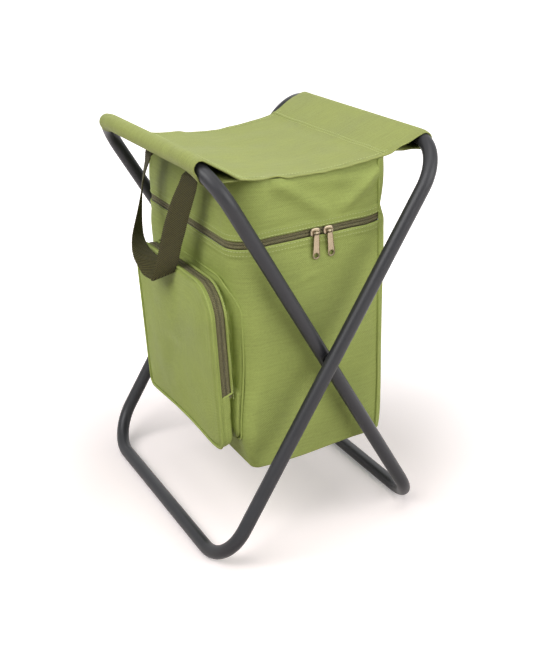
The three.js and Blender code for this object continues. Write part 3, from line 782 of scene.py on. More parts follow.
def hull(points):
    """Corners of the tightest band round the points, turning leftwards from the lowest."""
    ordered = sorted(map(tuple, points))

    def chain(line):
        kept = []
        for point in line:
            while len(kept) > 1 and turn_of(kept[-2], kept[-1], point) <= 0:
                kept.pop()
            kept.append(point)
        return kept[:-1]

    return np.array(chain(ordered) + chain(ordered[::-1]))


def turn_of(first, second, third):
    return (second[0] - first[0]) * (third[1] - first[1]) - (second[1] - first[1]) * (third[0] - first[0])


def rail_section(side, y, radius):
    """Points round the rail's section at one place along it, also where the rail bends down."""
    bend_radius = size("bend_radius")
    past = max(0.0, abs(y) - (LOOP_DEPTHS[side] / 2 - bend_radius))
    level = math.sqrt(bend_radius**2 - past**2)
    fall = bend_radius - level
    slope = bend_radius / level
    top = rail_height(side, y)
    leg = np.array([-side * 2 * RAIL_SPREAD, TUBE_RADIUS - top])
    leg = leg / np.linalg.norm(leg)
    beside = np.array([-leg[1], leg[0]])
    middle = np.array([side * RAIL_SPREAD, top]) + leg * fall
    angles = np.linspace(0, 2 * math.pi, SECTION_POINTS, endpoint=False)[:, None]
    return middle + radius * (leg * slope * np.cos(angles) + beside * np.sin(angles))


def rail_roof(side, y, radius):
    """Points that keep the cloth's top up where the rail leaves it."""
    past = max(0.0, abs(y) - ROOF_START) / ROOF_REACH
    middle = np.array([side * (RAIL_SPREAD - ROOF_SHRINK * past), rail_height(side, y) - ROOF_FALL * past])
    angles = np.linspace(0, 2 * math.pi, SECTION_POINTS, endpoint=False)
    return middle + (radius - ROOF_SHRINK * past) * np.column_stack([np.cos(angles), np.sin(angles)])


def sleeve_path(side, y, edge_height, radius):
    """Points in X and Z from the seat's edge round a rail and back underneath it."""
    upper = np.array([side * SEAT_EDGE, edge_height])
    lower = np.array([side * (SEAT_EDGE - 1), edge_height - 1.6])
    band = hull(np.vstack([[upper, lower], rail_section(side, y, radius), rail_roof(side, y, radius)]))
    start = int(np.argmin(np.linalg.norm(band - upper, axis=1)))
    band = np.roll(band, -start, axis=0)
    if side > 0:
        band = np.vstack([band[:1], band[:0:-1]])
    end = int(np.argmin(np.linalg.norm(band - lower, axis=1)))
    tail_end = np.array([side * (SEAT_EDGE - 7), edge_height - 2.7])
    return np.vstack([resampled(band[: end + 1], 64), (lower + tail_end) / 2, tail_end])


def sleeve_place(y):
    """Where a sleeve's section lies for a row of the seat; the sleeves reach further at the rear."""
    return y + SLEEVE_REACH * eased(y, SEAT_REAR - 50, SEAT_REAR)


def seat_profile(y):
    """The cloth's middle surface at one place along the seat, from the left tail to the right tail."""
    half = size("seat_cloth") / 2
    across = np.linspace(-SEAT_EDGE, SEAT_EDGE, 61)
    heights = seat_top(across, y) - half
    radius = TUBE_RADIUS + SEAT_PLAY + half
    left = sleeve_path(-1, sleeve_place(y), heights[0], radius)[::-1]
    right = sleeve_path(1, sleeve_place(y), heights[-1], radius)
    return np.vstack([left, np.stack([across, heights], axis=1)[1:-1], right])


def seat_rows():
    """Places along the seat, closer together at the hems."""
    hem = np.array([0, 0.8, 2.0, 4.5, 7.5, 8.6, 9.6, 11])
    middle = np.linspace(SEAT_FRONT + 11, SEAT_REAR - 11, 46)[1:-1]
    return np.concatenate([SEAT_FRONT + hem, middle, (SEAT_REAR - hem)[::-1]])


def from_ends(y, start, end):
    """1 within start of either end of the seat, fading to 0 at end, as a front and a rear share."""
    near_front = 1 - eased(y, SEAT_FRONT + start, SEAT_FRONT + end)
    return near_front, eased(y, SEAT_REAR - end, SEAT_REAR - start)


def draw_sleeves(grid, rows):
    """Moves the sleeves' rear ends outwards, and their undersides back from the front."""
    on_rail = eased(np.abs(grid[:, :, 0]), SEAT_EDGE - 4, RAIL_SPREAD - 14)
    grid[:, :, 1] += (sleeve_place(rows) - rows)[:, None] * on_rail
    from_tail = np.arange(grid.shape[1])
    left, right = MOUTH_PULLS
    under = left * (1 - eased(from_tail, 20, 30)) + right * (1 - eased(from_tail[::-1], 20, 30))
    grid[:, :, 1] += under * from_ends(rows, 0, 35)[0][:, None]


def ruffle_hems(grid, rows):
    """Lets the seat's front and rear hems wander a little, with one pucker left of the middle."""
    x = grid[0, :, 0]
    wander = 0.35 * soft_noise(x, 0, 45, 21) + 0.25 * soft_noise(x, 0, 18, 22)
    wander += 1.6 * np.exp(-(((x + 44) / 7) ** 2)) - 1.2 * np.exp(-(((x + 33) / 6) ** 2))
    wander = wander * eased(np.abs(x), RAIL_SPREAD + 9, RAIL_SPREAD - 20)
    near_front, near_rear = from_ends(rows[:, None], 0, 22)
    grid[:, :, 1] += wander * (near_front - near_rear) * 0.8
    grid[:, :, 2] += wander * (near_front + near_rear) * 0.7


def make_seat():
    rows = seat_rows()
    grid = np.array([[(x, y, z) for x, z in seat_profile(y)] for y in rows])
    draw_sleeves(grid, rows)
    ruffle_hems(grid, rows)
    half = size("seat_cloth") / 2
    hem = np.maximum(*from_ends(rows, HEM_WIDTH, HEM_WIDTH + 1.4))[:, None]
    up, down = half + HEM_UP * hem, half + HEM_DOWN * hem
    seat = thick_sheet("seat_sheet", grid[:, ::-1], "seat_cloth", up, down)
    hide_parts("left_seat_sleeve", "seat_panel", "right_seat_sleeve")
    lines = [seat_line(x) for x in SLEEVE_SEAMS]
    lines += [hem_line(y) for y in (SEAT_FRONT + HEM_WIDTH - 1, SEAT_REAR - HEM_WIDTH + 1)]
    for piece in (seat, stitches("seat_stitches", lines)):
        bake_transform(piece)


def seat_line(x):
    """A seam along the seat from front to rear."""
    rows = np.linspace(SEAT_FRONT + 1.5, SEAT_REAR - 1.5, 60)
    return [(x, y, float(seat_top(x, y)) + 0.1) for y in rows]


def hem_line(y):
    """A seam across the seat, on the thicker cloth of a hem."""
    across = np.linspace(-SEAT_EDGE + 1, SEAT_EDGE - 1, 60)
    return [(x, y, float(seat_top(x, y)) + HEM_UP + 0.1) for x in across]


# Bag
SIDES = range(8)
FRONT_SIDE, FRONT_CORNER, LEFT_SIDE, REAR_CORNER, REAR_SIDE, REAR_SEAM, RIGHT_SIDE, FRONT_SEAM = SIDES
LEFT_PLACES = (90, 100, 112, 126, 185, 242, 300, 340, 352, 385, 404.5)
LEFT_FACES = (-69.5, -73.5, -77, -79, -83, -86, -88, -88.5, -88, -85.5, -82.5)
SEAM_PLACES = (92, 110, 140, 201, 259, 314, 351, 363, 379, 394, 408)
SEAM_LINES = (77, 78.2, 79, 77.6, 76.1, 74.5, 73, 72.2, 71.2, 70.3, 69.5)
BULGE_PLACES = (92, 112, 150, 255, 335, 349, 356, 363, 370, 380, 398, 410)
SIDE_BULGES = (7, 9.4, 9.2, 9.4, 10.2, 9.8, 7.5, 5.6, 7.4, 9.6, 11.2, 11)
FLOOR_PLACES = (-75, -46, -16, 21, 47, 66, 80, 90)
FLOOR_HEIGHTS = (-4.0, -4.3, -3.4, 0.4, 3.2, 4.6, 6.0, 6.6)
ZIP_PLACES = (-90, -70, -52, -30, -7, 16, 39, 63, 73, 80)
ZIP_RISES = (-8.8, -5.9, -4.2, -3.2, -1.9, -1.0, 0.3, 1.8, 4.2, ZIP_RISE)
SEAM_RADIUS = 8.0
ZIP_GAP = 4.6  # from the zip's middle to the edge of the cloth
WALL_PLAY = 1.4  # by which the pocket's edge sinks into the left wall
LID_TOP = 404.0
BASE_EDGE = 3.0  # radius of the bag's lower edge
HEM_ROWS = np.array([0, 0.7, 2, 4, 6, 7.4, 8.4, 9.4, 11, 14])[:, None]  # from a hem's edge
HEM_FOLDS = (0.35, 0.5, 0.5, 0.5, 0.5, 0.45, 0.15)  # extra cloth on the first of these rows
FILM_DEPTH = 1.6  # from the bag's outer face to the edge of its lining
FILM_HALF = 0.3  # half the thickness of the lining as it shows
LINER_STEP = 4.4  # further inwards, where the foam lies behind it
LINING_STEP = 3.2
# Soft folds, as a start, an end, a width and a height, and dents, as a middle, a spread and a depth
LID_CREASES = (((-50, 404), (14, 361), 8, 3.2), ((78, 407), (26, 362), 6.5, 3.8))
LID_DENTS = (((40, 405), (30, 8), -3.0), ((22, 386), (12, 10), -1.8), ((-44, 380), (16, 14), -1.2))
WALL_CREASES = (((-21, 296), (0, 303), 3, 1.1), ((47, 112), (44, 150), 5, -1.6))


def left_face(z):
    return smooth_table(z, LEFT_PLACES, LEFT_FACES)


def seam_line(z):
    """Where the piping runs on the bag's front and rear, left of the rounded right side."""
    return smooth_table(z, SEAM_PLACES, SEAM_LINES)


def floor_line(x):
    """Height of the bag's bottom, which hangs lower on the left."""
    return BAG_FLOOR + smooth_table(x, FLOOR_PLACES, FLOOR_HEIGHTS)


def zip_line(x):
    """Height of the zip's middle, which climbs to the hinge."""
    return ZIP_HEIGHT + smooth_table(x, ZIP_PLACES, ZIP_RISES)


def front_radius(z):
    """Radius of the corner between the front and the left wall, which is tighter near the floor."""
    return 8.5 + 22.5 * eased(z, 92, 235)


def rear_radius(z):
    """The same at the rear, where the lid's corner is a little tighter too."""
    return 8.5 + 13.5 * eased(z, 92, 235) - 5 * eased(z, 345, 375)


def wall_at(y, z):
    """The left wall's place across the bag, also round its corners."""
    x = left_face(z)
    for radius, past in ((front_radius(z), BAG_FRONT - y), (rear_radius(z), y - BAG_REAR)):
        reach = np.clip(past + radius, 0, radius)
        x = x + radius - np.sqrt(radius**2 - reach**2)
    return x - WALL_PLAY


def side_columns(side, count, ends=False):
    """Columns on one side of the bag, as pairs of side and share along it."""
    shares = np.linspace(0, 1, count, endpoint=ends)
    return [(side, share) for share in shares]


def open_columns():
    """Columns from the front's right end round the left to the rear's right end."""
    return np.array(
        side_columns(FRONT_SIDE, 64)
        + side_columns(FRONT_CORNER, 12)
        + side_columns(LEFT_SIDE, 56)
        + side_columns(REAR_CORNER, 10)
        + side_columns(REAR_SIDE, 48, ends=True)
    )


def ring_columns():
    """Columns all round the bag."""
    rear = [(REAR_SEAM, share) for share in np.linspace(0.06, 1, 8, endpoint=False)]
    right = side_columns(RIGHT_SIDE, 40)
    front = [(FRONT_SEAM, share) for share in np.linspace(0, 0.94, 8)]
    return np.vstack([open_columns(), rear, right, front])


def bag_surface(columns, z, inset, relief=True):
    """Points on the bag's outer face, or inset from it, at the columns and heights given."""
    side, share = columns[:, 0], columns[:, 1]
    left, seam = left_face(z), seam_line(z)
    bulge = smooth_table(z, BULGE_PLACES, SIDE_BULGES) - inset
    near, far = front_radius(z), rear_radius(z)
    low, high = BAG_FRONT + SEAM_RADIUS, BAG_REAR - SEAM_RADIUS
    turn = share * math.pi / 2
    narrow = SEAM_RADIUS - inset
    choices = [side == number for number in SIDES]
    x = np.select(
        choices,
        [
            seam + (left + near - seam) * share,
            left + near - (near - inset) * np.sin(turn),
            left + inset + 0 * share,
            left + far - (far - inset) * np.cos(turn),
            left + far + (seam - left - far) * share,
            seam + bulge * np.sin(turn),
            seam + bulge + 0 * share,
            seam + bulge * np.cos(turn),
        ],
    )
    y = np.select(
        choices,
        [
            BAG_FRONT + inset + 0 * z * share,
            BAG_FRONT + near - (near - inset) * np.cos(turn),
            BAG_FRONT + near + (BAG_REAR - far - BAG_FRONT - near) * share,
            BAG_REAR - far + (far - inset) * np.sin(turn),
            BAG_REAR - inset + 0 * z * share,
            high + narrow * np.cos(turn) + 0 * z,
            high + (low - high) * share + 0 * z,
            low - narrow * np.sin(turn) + 0 * z,
        ],
    )
    nx = np.select(choices, [0, -np.sin(turn), -1, -np.cos(turn), 0, np.sin(turn), 1, np.cos(turn)])
    ny = np.select(choices, [-1, -np.cos(turn), 0, np.sin(turn), 1, np.cos(turn), 0, -np.sin(turn)])
    if relief:
        out = bag_relief(side, share, x, y, z)
        x, y = x + nx * out, y + ny * out
    return np.stack([x, y, z + 0 * x], axis=-1)


def bag_relief(side, share, x, y, z):
    """How far the cloth stands out from the plain form."""
    choices = [side == number for number in SIDES]
    zip_at = zip_line(x)
    below = eased(z, BAG_FLOOR, BAG_FLOOR + 40) * (1 - eased(z, zip_at - 30, zip_at - 8))
    above = eased(z, zip_at + 8, zip_at + 22) * (1 - eased(z, 394, 406))
    start, end = eased(share, 0, 0.12), 1 - eased(share, 0.88, 1)
    flat = np.select(choices, [start, 1, 1, 1, end, 0, start * end, 0])
    middle = np.sin(share * math.pi)
    swell = 1.2 * flat + np.select(choices, [1.0, 0, 1.4, 0, 1.8, 0, 1.0, 0]) * middle
    out = swell * below + 0.9 * flat * above
    around = 0.8 * x + 1.3 * y
    uneven = 0.6 * soft_noise(around, z, 90, 3) + 0.25 * soft_noise(around, z, 34, 4)
    out = out + uneven * flat * (below + above)
    lid_folds = sum(crease(x, z, *fold) for fold in LID_CREASES) + sum(dent(x, z, *low) for low in LID_DENTS)
    wall_folds = sum(crease(x, z, *fold) for fold in WALL_CREASES)
    on_lid = eased(z, zip_at + 4, zip_at + 12)
    return out + (side == FRONT_SIDE) * (on_lid * lid_folds + below * wall_folds)


def plain_ring(columns, height, inset=0.0):
    """The bag's plain outline at one height."""
    return bag_surface(columns, np.full(len(columns), height), inset, relief=False)


def zip_heights(columns):
    """Height of the zip's middle at each column."""
    return zip_line(plain_ring(columns, ZIP_HEIGHT)[:, 0])


def floor_heights(columns):
    """Height of the bag's bottom at each column."""
    return floor_line(plain_ring(columns, BAG_FLOOR + BASE_EDGE)[:, 0])


def hinge_share(columns):
    """1 on the right side, whose cloth is the hinge, and 0 elsewhere."""
    return (columns[:, 0] >= REAR_SEAM) * 1.0


def base_rows(edge, count, radius, sag):
    """Rows that turn under the bag's edge and close in its middle."""
    middle = np.array([0.0, BAG_MIDDLE])
    rows = []
    for turn in np.linspace(0.25, 1, 4) * math.pi / 2:
        ring = edge.copy()
        ring[:, :2] += unit_rows(middle - edge[:, :2]) * radius * (1 - math.cos(turn))
        ring[:, 2] -= radius * math.sin(turn)
        rows.append(ring)
    last = rows[-1]
    lift = last[:, 2] - floor_line(last[:, 0])
    for share in np.linspace(0, 1, count)[1:]:
        ring = last.copy()
        ring[:, :2] += (middle - last[:, :2]) * share
        ring[:, 2] = floor_line(ring[:, 0]) + lift * (1 - share) - sag * math.sin(share * math.pi / 2)
        rows.append(ring)
    return np.array(rows)


def hemmed_rows(edge, far, way, count):
    """Heights from the hem at the zip, up or down to the far edge, close together at the hem."""
    near = edge + way * HEM_ROWS
    shares = np.linspace(0, 1, count)[1:, None]
    return np.vstack([near, near[-1] + (far - near[-1]) * shares])


def hem_thickness(count, hinge):
    """Extra cloth where the edge is folded over, by row and column."""
    fold = np.zeros(count)
    fold[: len(HEM_FOLDS)] = HEM_FOLDS
    return fold[:, None] * (1 - hinge)[None, :]


def cloth_edge(columns, way):
    """Height of the cloth's edge above or below the zip and its hinge."""
    gap = ZIP_GAP - (ZIP_GAP - HINGE_GAP) * hinge_share(columns)
    return zip_heights(columns) + way * gap


def lined(name, walls, close, body, replaced):
    """A lining of film, from its walls and the rows that close it."""
    grid = np.concatenate([walls, close])
    film = thick_sheet(name, grid, "liner", FILM_HALF, FILM_HALF, wrap=True, closed_end=True)
    settle(film, body, [replaced])


def make_bag():
    half = size("bag_cloth") / 2
    columns = ring_columns()
    top = cloth_edge(columns, -1)
    bottom = floor_heights(columns) + BASE_EDGE + half
    walls = bag_surface(columns, hemmed_rows(top, bottom, -1, 70), half)
    grid = np.concatenate([walls, base_rows(walls[-1], 14, BASE_EDGE, 2.2)])
    up = half + hem_thickness(len(grid), hinge_share(columns))
    shell = thick_sheet("bag_shell", grid, "bag_cloth", up, half, wrap=True, closed_end=True)
    replaced = ["wall_panel", "lower_hinge_panel", "bag_base", "wall_foam", "hinge_foam", "base_foam"]
    settle(shell, "bag_body", replaced)
    make_liner(columns, top, bottom)


def make_liner(columns, top, bottom):
    """The silver tub, whose rim turns out to the zip."""
    shares = np.concatenate([np.linspace(0, 0.06, 5), np.linspace(0.06, 1, 40)[1:]])[:, None]
    inset = FILM_DEPTH + LINER_STEP * eased(shares, 0, 0.05)
    walls = bag_surface(columns, top - 0.5 + (bottom + 5 - top) * shares, inset)
    lined("liner_tub", walls, base_rows(walls[-1], 12, 1.5, 1.5), "bag_body", "cooler_liner")


def skirt_top(points):
    """Where the lid's cloth meets the underside of the seat."""
    tail = eased(np.abs(points[..., 0]), SEAT_EDGE - 9, SEAT_EDGE - 6)
    return seat_top(points[..., 0], points[..., 1]) - 1.65 - 1.6 * tail


def make_lid():
    half = size("bag_cloth") / 2
    columns = ring_columns()
    top = skirt_top(plain_ring(columns, LID_TOP, half))
    grid = bag_surface(columns, hemmed_rows(cloth_edge(columns, 1), top, 1, 34), half)
    down = half + hem_thickness(len(grid), hinge_share(columns))
    skirt = thick_sheet("lid_shell", grid, "bag_cloth", half, down, wrap=True)
    settle(skirt, "bag_lid", ["lid_skirt", "upper_hinge_panel", "lid_foam"])
    make_lid_lining(columns, top)


def make_lid_lining(columns, top):
    """The film under the lid, which turns down to the zip."""
    bottom = zip_heights(columns) + 4.5
    shares = np.concatenate([np.linspace(0, 0.1, 4), np.linspace(0.1, 1, 14)[1:]])[:, None]
    inset = FILM_DEPTH + LINING_STEP * eased(shares, 0, 0.1)
    walls = bag_surface(columns, bottom + (top - 8 - bottom) * shares, inset, relief=False)
    inwards = np.linspace(0, 1, 14)[1:, None, None]
    roof = walls[-1] + (np.array([0.0, BAG_MIDDLE, 0]) - walls[-1]) * inwards
    roof[..., 2] = seat_top(roof[..., 0], roof[..., 1]) - 8.5
    roof[-1, :, 2] = roof[-1, :, 2].mean()
    lined("lid_film", walls, roof, "bag_lid", "lid_lining")


# Zip and piping round the bag
CORD_RADIUS = 1.3


def zip_strip(name, side, body, replaced):
    """A strip of zip tape that rises to the coil and dips under the cloth."""
    columns = open_columns()
    offsets = np.array([0.35, 0.6, 1.2, 2.0, 2.8, 3.3, 3.9, 5.0, 8.0])[:, None]
    insets = np.array([2.0, 1.2, 0.7, 0.6, 1.0, 1.7, 2.6, 2.9, 2.4])[:, None]
    grid = bag_surface(columns, zip_heights(columns) + side * offsets, insets + 0.4)
    strip = thick_sheet(name, grid, "zip_tape", 0.4, 0.4)
    settle(strip, body, replaced)


def zip_path(height, inset):
    """A line beside the zip's middle, at a height from it."""
    columns = open_columns()
    return bag_surface(columns, zip_heights(columns) + height, inset)


def make_zip():
    pitch = size("coil_pitch")
    for name, side, body in (("upper", 1, "bag_lid"), ("lower", -1, "bag_body")):
        zip_strip(name + "_tape_strip", side, body, [name + "_zip_tape"])
        coil = row(name + "_coil", [zip_path(0.5 * side, 2.0)], pitch, (pitch * 0.62, 1.3, 1.2), "zip_coil")
        settle(coil, body)
        seam = stitches(name + "_zip_stitches", [zip_path(side * 10.4, -0.3), zip_path(side * 6.0, -0.75)])
        settle(seam, body)


def corner_line(y, low, high, count=60):
    """The line that the piping follows on the bag's front or rear."""
    heights = np.linspace(low, high, count)
    return np.column_stack([seam_line(heights) + 0.6, np.full(count, y), heights])


def make_piping():
    hinge_at = ZIP_HEIGHT + ZIP_RISE
    low = float(floor_line(78.0)) + 2.0
    ends = (("front", BAG_FRONT - 0.5, SEAT_FRONT), ("rear", BAG_REAR + 0.5, SEAT_REAR))
    for end, wall, seat_end in ends:
        top = float(seat_top(70, seat_end)) - 3.0
        upper, lower = (hinge_at + HINGE_GAP, top), (low, hinge_at - HINGE_GAP)
        for level, reach, body in (("upper", upper, "bag_lid"), ("lower", lower, "bag_body")):
            cord = tube(f"{level}_{end}_cord", [corner_line(wall, *reach)], CORD_RADIUS, "bag_cloth")
            settle(cord, body, [f"{level}_{end}_piping"])


# Pocket
POCKET_MIDDLE = (POCKET_FRONT + POCKET_REAR) / 2
POCKET_DEPTH = 29  # from the bag's plain side to the pocket's face, halfway up
POCKET_LEAN = 16  # how much closer to the bag its face lies at the floor than at the zip
POCKET_SPINE = 84  # from its outline to the middle line that the front is drawn towards
POCKET_PUFF = 4.0  # how far its front stands out in the middle
POCKET_TOP_RADIUS = 35
POCKET_LOW_RADIUS = 9
POCKET_ZIP_END = POCKET_FLOOR + 59
POCKET_SAG_SHARES = (0, 0.07, 0.29, 0.43, 0.57, 0.71, 0.86, 1)
POCKET_SAGS = (1.0, 4.4, 3.7, 2.6, 3.0, 4.3, 6.4, 7.6)  # how far its bottom hangs below the plain form
POCKET_TAPE_START = 3.8  # from the pocket's face to the zip
POCKET_TAPE_END = 15.2
GUSSET_LIFT = 8  # how much higher the gusset meets the bag along the bottom
GUSSET_PLACES = (0, 0.08, 0.2, 0.33, 0.45, 0.56, 0.68, 0.8, 0.88, 0.95, 1)
ZIPPED_DEPTHS = (0, 2.0, 7.0, 10.0, 12.0, 12.5, 12.0, 7.6, 0.6, -0.5, 0.8)
CLOSED_DEPTHS = (0, 0.4, 2.0, 11.0, 12.0, 2.6, 0.2, -0.3, -0.4, -0.3, 0.2)


def pocket_face(z):
    """The pocket's plain front face."""
    share = 0.5 - np.clip((z - BAG_FLOOR) / (ZIP_HEIGHT - BAG_FLOOR), 0, 1)
    return -BAG_HALF - POCKET_DEPTH + POCKET_LEAN * share


def straight(start, end, steps):
    shares = np.linspace(0, 1, steps, endpoint=False)[:, None]
    return np.array(start) + (np.array(end) - np.array(start)) * shares


def bend(centre, radius, start, steps):
    """A quarter turn leftwards."""
    angles = np.radians(np.linspace(start, start + 90, steps, endpoint=False))
    return np.array(centre) + radius * np.column_stack([np.cos(angles), np.sin(angles)])


def pocket_outline(inset, low_radius=POCKET_LOW_RADIUS):
    """Points in Y and Z round the pocket, from the middle of its bottom towards the rear."""
    front, rear = POCKET_FRONT + inset, POCKET_REAR - inset
    low, high = POCKET_FLOOR + inset, POCKET_TOP - inset
    upper, lower = max(POCKET_TOP_RADIUS - inset, 0.5), max(low_radius - inset, 0.5)
    middle = (front + rear) / 2
    flat = np.vstack(
        [
            straight((middle, low), (rear - lower, low), 20),
            bend((rear - lower, low + lower), lower, -90, 8),
            straight((rear, low + lower), (rear, high - upper), 90),
            bend((rear - upper, high - upper), upper, 0, 24),
            straight((rear - upper, high), (front + upper, high), 40),
            bend((front + upper, high - upper), upper, 90, 24),
            straight((front, high - upper), (front, low + lower), 90),
            bend((front + lower, low + lower), lower, 180, 8),
            straight((front + lower, low), (middle, low), 20),
        ]
    )
    sag = smooth_table((flat[:, 0] - front) / (rear - front), POCKET_SAG_SHARES, POCKET_SAGS)
    flat[:, 1] -= sag * low_share(flat[:, 1])
    return flat


def low_share(z):
    """1 along the pocket's bottom, and 0 where its sides run straight."""
    return 1 - eased(z, POCKET_FLOOR, POCKET_FLOOR + 30)


def pocket_ring(inset, depth, low_radius=POCKET_LOW_RADIUS):
    """The outline at a distance from the pocket's face towards the bag, in X, Y and Z."""
    flat = pocket_outline(inset, low_radius)
    return np.column_stack([pocket_face(flat[:, 1]) + depth, flat])


def zip_share(ring):
    """1 where the pocket's zip runs, and 0 below its ends."""
    return eased(ring[:, 2], POCKET_ZIP_END - 2.2, POCKET_ZIP_END + 2.6)


def make_pocket():
    half = size("bag_cloth") / 2
    rows = [pocket_ring(half, depth) for depth in np.linspace(POCKET_TAPE_START, 1.5, 4)]
    rows += [pocket_ring(inset, depth) for inset, depth in ((0.9, 1.35), (1.9, 1.3))]
    rows += [pocket_puffed(2.6, -0.7), pocket_puffed(3.6, 0.3)]
    for inset in (5, 7, 10, 14, 19, 25, 32, 40, 49, 59, 70, 82):
        rows.append(pocket_puffed(inset, 0.3 + POCKET_PUFF * math.sin(min(1, inset / 64) * math.pi / 2)))
    rows.append(np.tile(rows[-1].mean(axis=0), (len(rows[0]), 1)))
    front = thick_sheet("pocket_panel", np.array(rows), "bag_cloth", half, half, True, True)
    settle(front, "bag_body", ["pocket_front"])
    make_gusset(half)
    make_pocket_trim()


def pocket_puffed(inset, puff):
    """A ring of the front panel, drawn towards the panel's middle line as it nears it."""
    outer = pocket_ring(0.5, 0)[:, 1:]
    spine_z = np.clip(outer[:, 1], POCKET_FLOOR + POCKET_SPINE, POCKET_TOP - POCKET_SPINE)
    spine = np.column_stack([np.full(len(outer), POCKET_MIDDLE), spine_z])
    y, z = (outer + (spine - outer) * min(1, inset / POCKET_SPINE)).T
    swell = 0.7 * soft_noise(y, z, 80, 31) + 0.3 * soft_noise(y, z, 33, 32)
    return np.column_stack([pocket_face(z) - puff - swell * min(1, inset / 20), y, z])


def gusset_depth(ring, share, t):
    """How far the pocket's side lies inside its outline, from the bag (0) to the zip (1)."""
    zipped = smooth_table(t, GUSSET_PLACES, ZIPPED_DEPTHS)
    closed = smooth_table(t, GUSSET_PLACES, CLOSED_DEPTHS)
    along = lengths_along(ring)
    crumple = 0.6 * soft_noise(along, np.full(len(ring), t * 30), 24, 41)
    crumple += 0.35 * soft_noise(along, np.full(len(ring), t * 40), 9, 42)
    corner = np.linalg.norm(ring[:, 1:] - np.array([POCKET_FRONT + 11, POCKET_TOP - 12]), axis=1)
    puckers = 1.5 * np.exp(-((corner / 17) ** 2)) * np.sin(along * 2 * math.pi / 8.5 + 3 * t)
    return zipped * share + closed * (1 - share) + (crumple + puckers) * math.sin(math.pi * t) ** 0.7


def make_gusset(half):
    """The pocket's side, from the bag out to the zip."""
    back = pocket_ring(half, 0)
    wall = wall_at(back[:, 1], back[:, 2])
    share = zip_share(back)
    front = back[:, 0] + POCKET_TAPE_START + (POCKET_TAPE_END - POCKET_TAPE_START) * share
    inward = unit_rows(np.array([POCKET_MIDDLE, (POCKET_FLOOR + POCKET_TOP) / 2]) - back[:, 1:])
    rows = []
    for t in np.linspace(0, 1, 30):
        ring = back.copy()
        ring[:, 0] = wall + (front - wall) * t
        ring[:, 1:] += inward * gusset_depth(back, share, t)[:, None]
        ring[:, 2] += GUSSET_LIFT * (1 - t) * low_share(back[:, 2])
        rows.append(ring)
    gusset = thick_sheet("pocket_side", np.array(rows), "bag_cloth", half, half, wrap=True)
    settle(gusset, "bag_body", ["pocket_gusset"])


def zip_run(ring):
    """The part of a ring above the pocket zip's ends."""
    return ring[ring[:, 2] > POCKET_ZIP_END - 5]


def make_pocket_trim():
    """The pocket's zip, its piping, the welt round its foot and its seams."""
    middle = (POCKET_TAPE_START + POCKET_TAPE_END) / 2
    half = middle - POCKET_TAPE_START
    rows = []
    for offset in np.array([-1.15, -0.9, -0.6, -0.25, -0.08, 0.08, 0.25, 0.6, 0.9, 1.15]) * half:
        inset = 1.25 + 1.1 * (offset / half) ** 4 + 0.5 * (abs(offset) < 1)
        rows.append(zip_run(pocket_ring(inset + 0.3, middle + offset)))
    tape = thick_sheet("pocket_tape_strip", np.array(rows), "zip_tape", 0.35, 0.35)
    settle(tape, "bag_body", ["pocket_zip_tape"])
    pitch = size("coil_pitch")
    lines = [zip_run(pocket_ring(1.3, middle + offset)) for offset in (-0.6, 0.6)]
    coil = row("pocket_coil", lines, pitch, (pitch * 0.62, 1.2, 1.4), "zip_coil", up=(1.0, 0.0, 0.0))
    settle(coil, "bag_body")
    cord = tube("pocket_cord", [pocket_ring(-0.3, 0.1)], 1.45, "bag_cloth", closed=True)
    settle(cord, "bag_body", ["pocket_piping"])
    welt_line = pocket_ring(-1.6, 0, 4.0)
    welt_line[:, 2] += GUSSET_LIFT * low_share(welt_line[:, 2])
    welt_line[:, 0] = wall_at(welt_line[:, 1], welt_line[:, 2]) - 1.2
    welt = tube("pocket_welt", [welt_line], 1.0, "bag_cloth", closed=True)
    settle(welt, "bag_body")
    ridge = pocket_ring(0.5, POCKET_TAPE_END + 1.8)
    seams = stitches("pocket_stitches", [zip_run(ridge)])
    settle(seams, "bag_body")


# Zip sliders and pulls
PIN_REACH = 3.8  # from the slider's back to its pin
PULL_DROP = -23.4  # from the pin to the middle of the pull's hole and of its rounded end
PULL_END_RADIUS = 4.1
PULL_HOLE_RADIUS = 2.4
PULL_EDGE = ((-2.6, -1.8), (-3.1, -5.0), (-3.4, -14))  # its left side, down from the pin
HOLE_RIM = ((0.0, 0.35), (0.2, 0.7), (0.45, 0.78), (0.65, 0.35))  # steps outwards, and heights
OUTER_RIM = ((-0.95, 0.35), (-0.75, 0.85), (-0.3, 0.78), (0.0, 0.25))
# Turned shapes, as places along the pin and radii, from one end to the middle
EYE_PROFILE = ((-1.6, 0.95), (-1.6, 1.6), (-1.3, 1.75))
POST_PROFILE = ((-0.5, 0), (-0.5, 1.2), (-0.35, 1.45))
PIN_PROFILE = ((-2.6, 0), (-2.6, 0.6))
POST_PLACE = 2.4  # from the slider's middle
SLIDER_CORNER_SHARES = ((-1, -0.55), (-0.5, -1), (0.5, -1), (1, -0.55))  # its lower half
SLIDER_LEVELS = (  # shares of its outline, and depths
    (0.0, -0.35),
    (0.92, -0.35),
    (1.0, -0.6),
    (1.0, -1.5),
    (0.93, -1.85),
    (0.7, -2.0),
    (0.35, -2.15),
    (0.0, -2.2),
)


def outline_ring(points, count):
    """A closed outline with evenly spaced points."""
    closed = np.vstack([points, points[:1]])
    return resampled(closed, count + 1)[:-1]


